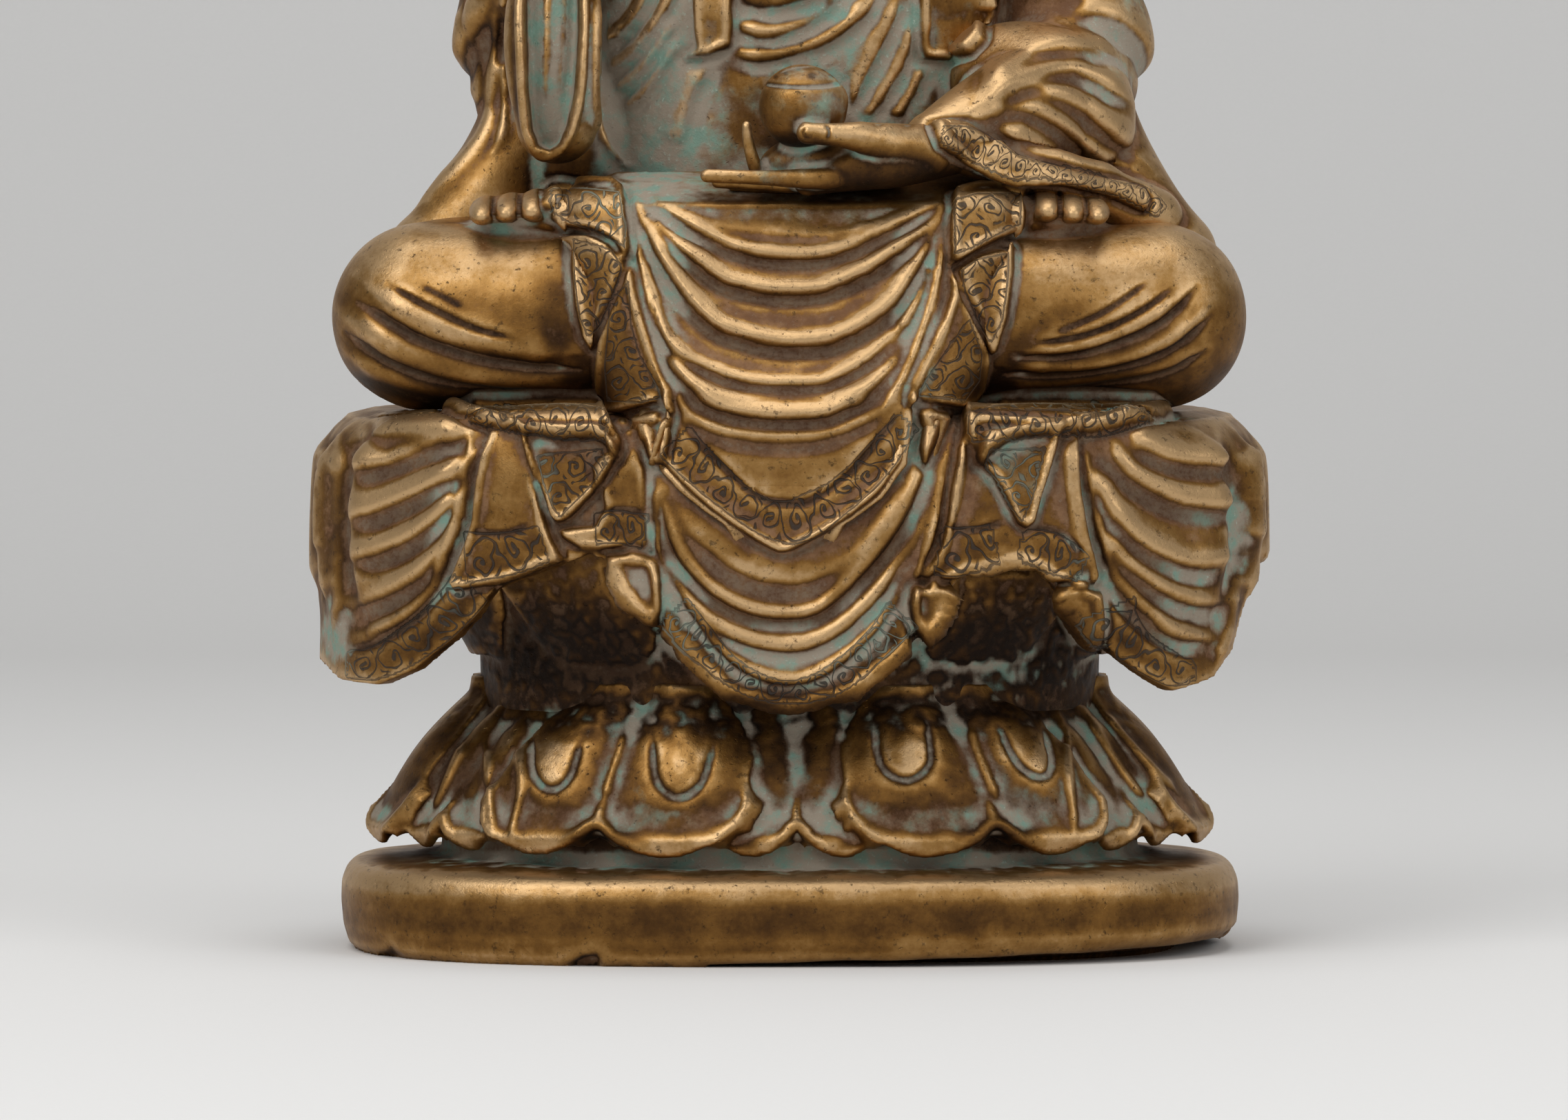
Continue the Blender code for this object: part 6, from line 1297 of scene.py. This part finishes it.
def measure_finish(skin):
    """Work out relief, finish, painted shade and painted highlight values for every point of the skin."""
    near, wide = [
        np.clip(np.sum((skin.points - skin.spread(skin.points, passes)) * skin.normals, axis=1) / full, -1.5, 1.5)
        for passes, full in ((NEAR_PASSES, NEAR_RELIEF), (WIDE_PASSES, WIDE_RELIEF))
    ]
    relief = skin.spread(0.45 * near + 0.55 * wide, 3)
    skin.look()
    for upper, lower in BANDS:
        skin.band(upper, lower)
    for outline in FIELDS:
        skin.field(outline)
    front = 0.35 + 0.65 * np.clip(-skin.normals[:, 1] + 0.6, 0.0, 1.0)
    # tone holds verdigris places, painted shade with dark patina, and polish with painted highlights
    dark = np.maximum(skin.places(SHADE_AND_DARK_PATINA_PLACES), skin.shade)
    tone = np.stack([skin.places(GREEN_PLACES) * front, dark, skin.places(POLISH_AND_HIGHLIGHT_PLACES)], axis=1)
    return {"relief": np.clip(relief, -1.0, 1.0), "tone": tone, "scroll": skin.scroll}


def add_values(data, name, values):
    """Store values on the points of a mesh."""
    kind = "FLOAT" if values.ndim == 1 else "FLOAT_VECTOR"
    layer = data.attributes.new(name, kind, "POINT")
    layer.data.foreach_set("value" if values.ndim == 1 else "vector", values.astype(np.float32).ravel())


def thin_out(data, name):
    """Bring a skin under its triangle count and shade it smooth."""
    item = bpy.data.objects.new(name, data)
    bpy.context.scene.collection.objects.link(item)
    triangles = sum(len(face.vertices) - 2 for face in data.polygons)
    if triangles > MOST_TRIANGLES:
        split = item.modifiers.new("Facets", "TRIANGULATE")
        split.quad_method = "SHORTEST_DIAGONAL"
        thin = item.modifiers.new("Thin", "DECIMATE")
        thin.decimate_type = "COLLAPSE"
        thin.ratio = MOST_TRIANGLES / triangles
    out = evaluated_mesh(item)
    bpy.data.objects.remove(item, do_unlink=True)
    out.name = name
    out.polygons.foreach_set("use_smooth", np.ones(len(out.polygons), dtype=bool))
    return bpy.data.objects.new(name, out)


class Nodes:
    """Short forms for the shader nodes of one material."""

    def __init__(self, material):
        material.use_nodes = True
        self.tree = material.node_tree
        self.surface = self.tree.nodes["Principled BSDF"]

    def new(self, kind, **settings):
        """Make a node and set its properties."""
        node = self.tree.nodes.new(kind)
        for key, value in settings.items():
            setattr(node, key, value)
        return node

    def feed(self, socket, value):
        """Link a socket, or set it to a plain value."""
        if isinstance(value, bpy.types.NodeSocket):
            self.tree.links.new(value, socket)
        else:
            socket.default_value = value

    def calc(self, operation, a, b=0.0, clamp=False):
        """Return the result of a Math node."""
        node = self.new("ShaderNodeMath", operation=operation, use_clamp=clamp)
        for socket, value in zip(node.inputs, (a, b)):
            self.feed(socket, value)
        return node.outputs[0]

    def add(self, a, b, clamp=False):
        """Return a sum."""
        return self.calc("ADD", a, b, clamp)

    def less(self, a, b, clamp=False):
        """Return a difference."""
        return self.calc("SUBTRACT", a, b, clamp)

    def times(self, a, b):
        """Return a product."""
        return self.calc("MULTIPLY", a, b)

    def most(self, a, b, clamp=False):
        """Return the greater of two values."""
        return self.calc("MAXIMUM", a, b, clamp)

    def sway(self, value, amount):
        """Return how far a value lies from its middle, times an amount."""
        return self.times(self.less(value, 0.5), amount)

    def sign(self, parity):
        """Return 1 for a parity of 0 and -1 for a parity of 1."""
        return self.less(1.0, self.times(parity, 2.0))

    def scale(self, value, low, high, to_low=0.0, to_high=1.0):
        """Map a range smoothly to another one."""
        node = self.new("ShaderNodeMapRange", interpolation_type="SMOOTHSTEP")
        for socket, entry in zip(node.inputs, (value, low, high, to_low, to_high)):
            self.feed(socket, entry)
        return node.outputs[0]

    def blend(self, share, a, b):
        """Return a mix of two colours."""
        node = self.new("ShaderNodeMix", data_type="RGBA")
        for socket, value in ((node.inputs[0], share), (node.inputs[6], a), (node.inputs[7], b)):
            self.feed(socket, value)
        return node.outputs[2]

    def ramp(self, value, stops):
        """Return a colour from a row of (place, colour) stops."""
        node = self.new("ShaderNodeValToRGB")
        row = node.color_ramp.elements
        while len(row) < len(stops):
            row.new(0.5)
        for element, (place, colour) in zip(row, stops):
            element.position = place
            element.color = (*colour, 1.0)
        self.feed(node.inputs[0], value)
        return node.outputs[0]

    def noise(self, where, grain, detail, roughness=0.55):
        """Return noise of a grain in millimetres."""
        node = self.new("ShaderNodeTexNoise", noise_dimensions="3D")
        self.feed(node.inputs["Vector"], where)
        node.inputs["Scale"].default_value = 1.0 / (grain * MM)
        node.inputs["Detail"].default_value = detail
        node.inputs["Roughness"].default_value = roughness
        return node.outputs["Fac"]

    def values(self, name):
        """Read the values stored on the mesh."""
        node = self.new("ShaderNodeAttribute", attribute_name=name)
        return node.outputs["Fac"], node.outputs["Vector"]

    def split(self, vector):
        """Return the three parts of a vector."""
        node = self.new("ShaderNodeSeparateXYZ")
        self.feed(node.inputs[0], vector)
        return node.outputs[0], node.outputs[1], node.outputs[2]


def chased_scroll(n, where):
    """Return the lines of a running vine of spirals that turn in both directions."""
    along, across, mask = n.split(where)
    flat = n.new("ShaderNodeCombineXYZ")
    n.feed(flat.inputs[0], along)
    n.feed(flat.inputs[1], across)
    stray = n.new("ShaderNodeTexNoise", noise_dimensions="2D")
    n.feed(stray.inputs["Vector"], flat.outputs[0])
    stray.inputs["Scale"].default_value = 1.5
    stray.inputs["Detail"].default_value = 1.0
    centred = n.new("ShaderNodeVectorMath", operation="SUBTRACT")
    n.feed(centred.inputs[0], stray.outputs["Color"])
    centred.inputs[1].default_value = (0.5, 0.5, 0.5)
    plane = n.new("ShaderNodeVectorMath", operation="MULTIPLY_ADD")
    n.feed(plane.inputs[0], centred.outputs[0])
    plane.inputs[1].default_value = (0.55, 0.40, 0.0)
    n.feed(plane.inputs[2], flat.outputs[0])
    x, y, _ = n.split(plane.outputs[0])
    row = n.calc("FLOOR", y)
    v = n.less(n.less(y, row), 0.5)
    shifted = n.add(x, n.times(row, 0.5))
    column = n.calc("FLOOR", shifted)
    u = n.less(n.less(shifted, column), 0.5)
    odd = n.calc("FLOORED_MODULO", n.add(column, row), 2.0)
    hand = n.sign(odd)
    rise = n.add(v, n.times(hand, 0.07))
    radius = n.calc("SQRT", n.add(n.times(u, u), n.times(rise, rise)))
    turn = n.times(n.calc("ARCTAN2", rise, u), 1.0 / (2.0 * math.pi))
    phase = n.times(radius, 3.3)
    phase = n.calc("FRACT", n.less(n.add(phase, 0.30), n.times(turn, hand)))
    line = n.calc("ABSOLUTE", n.less(phase, 0.5))
    spiral = n.times(n.scale(line, 0.06, 0.15, 1.0, 0.0), n.scale(radius, 0.44, 0.37))
    spiral = n.most(spiral, n.scale(radius, 0.06, 0.11, 1.0, 0.0))
    wave = n.times(n.calc("SINE", n.times(shifted, math.pi)), 0.43)
    wave = n.times(wave, n.sign(n.calc("FLOORED_MODULO", row, 2.0)))
    stem = n.scale(n.calc("ABSOLUTE", n.less(v, wave)), 0.022, 0.062, 1.0, 0.0)
    leaf = n.scale(n.calc("ABSOLUTE", n.less(radius, 0.53)), 0.016, 0.052, 1.0, 0.0)
    leaf = n.times(leaf, n.scale(n.times(rise, hand), -0.15, -0.30))
    lines = n.most(spiral, n.most(stem, leaf))
    border = n.scale(n.calc("ABSOLUTE", n.less(mask, 0.45)), 0.10, 0.28, 0.8, 0.0)
    return n.most(n.times(lines, n.scale(mask, 0.5, 0.9)), border)


def bronze():
    """Cast bronze with polished crests, brown valleys, dust, verdigris and chased scrolls, with painted highlights on
    upward faces and in listed places, and painted shade in creases and listed places.
    """
    material = bpy.data.materials.new("bronze_patina")
    n = Nodes(material)
    where = n.new("ShaderNodeTexCoord").outputs["Object"]
    relief, _ = n.values("relief")
    _, tone = n.values("tone")
    green_place, shade_and_patina_place, polish_and_highlight_place = n.split(tone)
    _, scroll = n.values("scroll")
    lines = chased_scroll(n, scroll)

    broad = n.noise(where, 16.0, 4.0)
    blotch = n.noise(where, 4.5, 6.0, 0.62)
    grain = n.noise(where, 0.8, 5.0, 0.65)
    fine = n.noise(where, 0.26, 2.0)

    # Faces that point up are painted lighter: a painted highlight from the lamps overhead, on top of the real wear of
    # the crests from relief
    up = n.split(n.new("ShaderNodeNewGeometry").outputs["Normal"])[2]
    wear_and_painted_light = n.add(0.46, n.times(relief, 0.50))
    wear_and_painted_light = n.add(wear_and_painted_light, n.times(up, 0.24))
    wear_and_painted_light = n.add(wear_and_painted_light, n.sway(broad, 0.34))
    wear_and_painted_light = n.add(wear_and_painted_light, n.sway(blotch, 0.55))
    wear_and_painted_light = n.add(wear_and_painted_light, n.sway(grain, 0.22))
    # Bright places add polish and painted highlights
    wear_and_painted_light = n.add(wear_and_painted_light, n.times(polish_and_highlight_place, 0.26))
    # Dark places pull the metal darker: mostly painted shade, with some dark patina
    wear_and_painted_light = n.less(wear_and_painted_light, n.times(shade_and_patina_place, 0.55), clamp=True)
    metal = n.ramp(wear_and_painted_light, (
        (0.0, (0.016, 0.010, 0.007)), (0.22, (0.042, 0.020, 0.008)), (0.42, (0.110, 0.051, 0.014)),
        (0.62, (0.215, 0.104, 0.025)), (0.80, (0.345, 0.190, 0.060)), (1.0, (0.56, 0.365, 0.180)),
    ))
    spots = n.scale(n.noise(where, 1.5, 6.0, 0.72), 0.57, 0.66)
    metal = n.blend(n.times(spots, 0.60), metal, (0.040, 0.022, 0.011, 1.0))
    specks = n.scale(n.noise(where, 0.42, 3.0, 0.6), 0.63, 0.72)
    metal = n.blend(n.times(specks, 0.45), metal, (0.055, 0.030, 0.014, 1.0))

    bright = n.less(1.0, n.times(shade_and_patina_place, 0.85))
    rough_relief = n.add(relief, n.sway(grain, 0.9))
    valley = n.times(n.scale(rough_relief, 0.12, -0.42), bright)
    earth = n.blend(n.scale(blotch, 0.36, 0.64), (0.180, 0.080, 0.032, 1.0), (0.31, 0.165, 0.078, 1.0))
    colour = n.blend(n.times(valley, 0.72), metal, earth)
    speckled = n.add(relief, n.sway(grain, 2.2))
    dust = n.times(n.scale(speckled, -0.55, -1.15), bright)
    dust = n.times(dust, n.scale(green_place, 0.0, 0.5, 0.35, 1.0))
    dust_colour = n.blend(n.scale(blotch, 0.35, 0.65), (0.310, 0.240, 0.175, 1.0), (0.265, 0.270, 0.210, 1.0))
    colour = n.blend(n.times(dust, 0.85), colour, dust_colour)

    patchy = n.sway(blotch, 1.1)
    verdigris = n.add(n.less(green_place, n.times(relief, 0.60)), patchy)
    verdigris = n.times(n.scale(verdigris, 0.30, 0.95), n.scale(green_place, 0.0, 0.25))
    green = n.blend(n.scale(blotch, 0.45, 0.66), (0.335, 0.285, 0.220, 1.0), (0.195, 0.325, 0.260, 1.0))
    green = n.blend(n.scale(grain, 0.56, 0.78), green, (0.42, 0.49, 0.41, 1.0))
    colour = n.blend(n.times(verdigris, 0.92), colour, green)
    filled = n.blend(n.scale(green_place, 0.2, 0.7), (0.020, 0.014, 0.010, 1.0), (0.19, 0.22, 0.175, 1.0))
    colour = n.blend(n.times(lines, 0.88), colour, filled)
    n.feed(n.surface.inputs["Base Color"], colour)

    matt = n.most(n.times(valley, 0.65), n.most(dust, verdigris))
    matt = n.most(matt, n.times(lines, 0.7), clamp=True)
    n.feed(n.surface.inputs["Metallic"], n.scale(matt, 0.0, 1.0, 0.92, 0.08))
    rough = n.add(n.scale(wear_and_painted_light, 0.3, 0.9, 0.54, 0.41), n.sway(grain, 0.20))
    rough = n.add(rough, n.times(matt, 0.34), clamp=True)
    n.feed(n.surface.inputs["Roughness"], rough)

    pits = n.scale(n.noise(where, 0.75, 2.0, 0.5), 0.68, 0.76)
    height = n.sway(grain, 0.42)
    height = n.add(height, n.sway(fine, 0.14))
    height = n.less(height, n.times(pits, 0.6))
    height = n.add(height, n.times(n.times(matt, grain), 0.75))
    height = n.less(height, n.times(lines, 1.6))
    bump = n.new("ShaderNodeBump")
    bump.inputs["Strength"].default_value = 1.0
    bump.inputs["Distance"].default_value = BUMP_DEPTH
    n.feed(bump.inputs["Height"], height)
    n.feed(n.surface.inputs["Normal"], bump.outputs[0])
    return material


def paper():
    """Pale studio paper with a faint tooth."""
    material = bpy.data.materials.new("studio_paper")
    n = Nodes(material)
    where = n.new("ShaderNodeTexCoord").outputs["Object"]
    tooth = n.noise(where, 1.2, 4.0)
    paler = tuple(min(1.0, value * 1.03) for value in PAPER_COLOUR)
    n.feed(n.surface.inputs["Base Color"], n.blend(tooth, PAPER_COLOUR, paler))
    n.surface.inputs["Roughness"].default_value = PAPER_ROUGHNESS
    return material


def build_stage():
    """Lay the pale floor that curves up behind the statue."""
    r = FLOOR_BEND_RADIUS
    profile = [(FLOOR_FRONT, 0.0)]
    profile += [(FLOOR_BEND_START + r * math.sin(a), r - r * math.cos(a)) for a in np.linspace(0.0, 0.5 * math.pi, 17)]
    profile.append((FLOOR_BEND_START + r, BACKDROP_HEIGHT))
    points = [(x, y, z) for y, z in profile for x in (-FLOOR_HALF_WIDTH, FLOOR_HALF_WIDTH)]
    faces = [(2 * k, 2 * k + 1, 2 * k + 3, 2 * k + 2) for k in range(len(profile) - 1)]
    data = bpy.data.meshes.new("floor")
    data.from_pydata(points, [], faces)
    data.polygons.foreach_set("use_smooth", [True] * len(faces))
    data.materials.append(paper())
    floor = bpy.data.objects.new("floor", data)
    bpy.context.scene.collection.objects.link(floor)


def build_light():
    """Hang soft rectangular lamps that face the statue, and set the even world light."""
    for name, place, target_height, size_m, watts in LAMPS:
        data = bpy.data.lights.new(name, "AREA")
        data.shape = "RECTANGLE"
        data.size, data.size_y = size_m
        data.energy = watts
        lamp = bpy.data.objects.new(name, data)
        lamp.location = place
        lamp.rotation_euler = (Vector((0.0, 0.0, target_height)) - Vector(place)).to_track_quat("-Z", "Y").to_euler()
        bpy.context.scene.collection.objects.link(lamp)
    world = bpy.data.worlds.new("studio")
    bpy.context.scene.world = world
    world.use_nodes = True
    background = world.node_tree.nodes["Background"]
    background.inputs["Color"].default_value = WORLD_COLOUR
    background.inputs["Strength"].default_value = WORLD_STRENGTH


def build_camera():
    """Place the camera where the photo was taken from."""
    data = bpy.data.cameras.new("photo_camera")
    camera = bpy.data.objects.new("photo_camera", data)
    target = Vector((PICTURE_CENTRE_X, FRONT_PLANE, PICTURE_CENTRE_Z))
    camera.location = (PICTURE_CENTRE_X, FRONT_PLANE - EYE_DISTANCE, EYE_HEIGHT)
    camera.rotation_euler = (target - camera.location).to_track_quat("-Z", "Y").to_euler()
    data.sensor_fit = "HORIZONTAL"
    data.sensor_width = SENSOR_WIDTH
    data.lens = SENSOR_WIDTH * (target - camera.location).length / PICTURE_WIDTH
    data.clip_start, data.clip_end = CLIP_RANGE
    bpy.context.scene.collection.objects.link(camera)
    bpy.context.scene.camera = camera


def build_statue():
    """Model the pieces of the statue's skin and carve them together."""
    builders = {
        "throne_base": (build_plinth, build_throne_foot, build_lotus),
        "throne_cloth": (build_throne_seat, build_cloth),
        "legs_and_apron": (build_legs, build_apron),
        "body_and_arms": (build_torso, build_arms),
        "pot_hand": (build_pot_hand,),
        "raised_hand": (build_raised_hand,),
        "head": (build_head,),
    }
    meshes = []
    for name, steps in builders.items():
        forms = Forms()
        for step in steps:
            step(forms)
        if name == "throne_cloth":
            for k in range(UPPER_PETAL_COUNT):
                build_upper_petal(forms, 2.0 * math.pi * (k + 0.5) / UPPER_PETAL_COUNT)
        cell = CELL[name] * MM * 1.0
        meshes.append(fuse(forms, cell, HEAD_SOFTENING if name == "head" else SOFTENING))
    skin = Skin(meshes)
    carve(skin)
    finish = measure_finish(skin)
    material = bronze()
    for k, (name, data) in enumerate(zip(builders, meshes)):
        for key, values in finish.items():
            add_values(data, key, values[skin.starts[k]:skin.starts[k + 1]])
        piece = thin_out(data, name)
        piece.data.materials.clear()
        piece.data.materials.append(material)
        bpy.context.scene.collection.objects.link(piece)
        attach(piece, "root")
        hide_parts("statue_casting")
        print(name, len(piece.data.polygons), "faces")


build_statue()
build_stage()
build_light()
build_camera()

bpy.context.scene.view_settings.view_transform = "Standard"
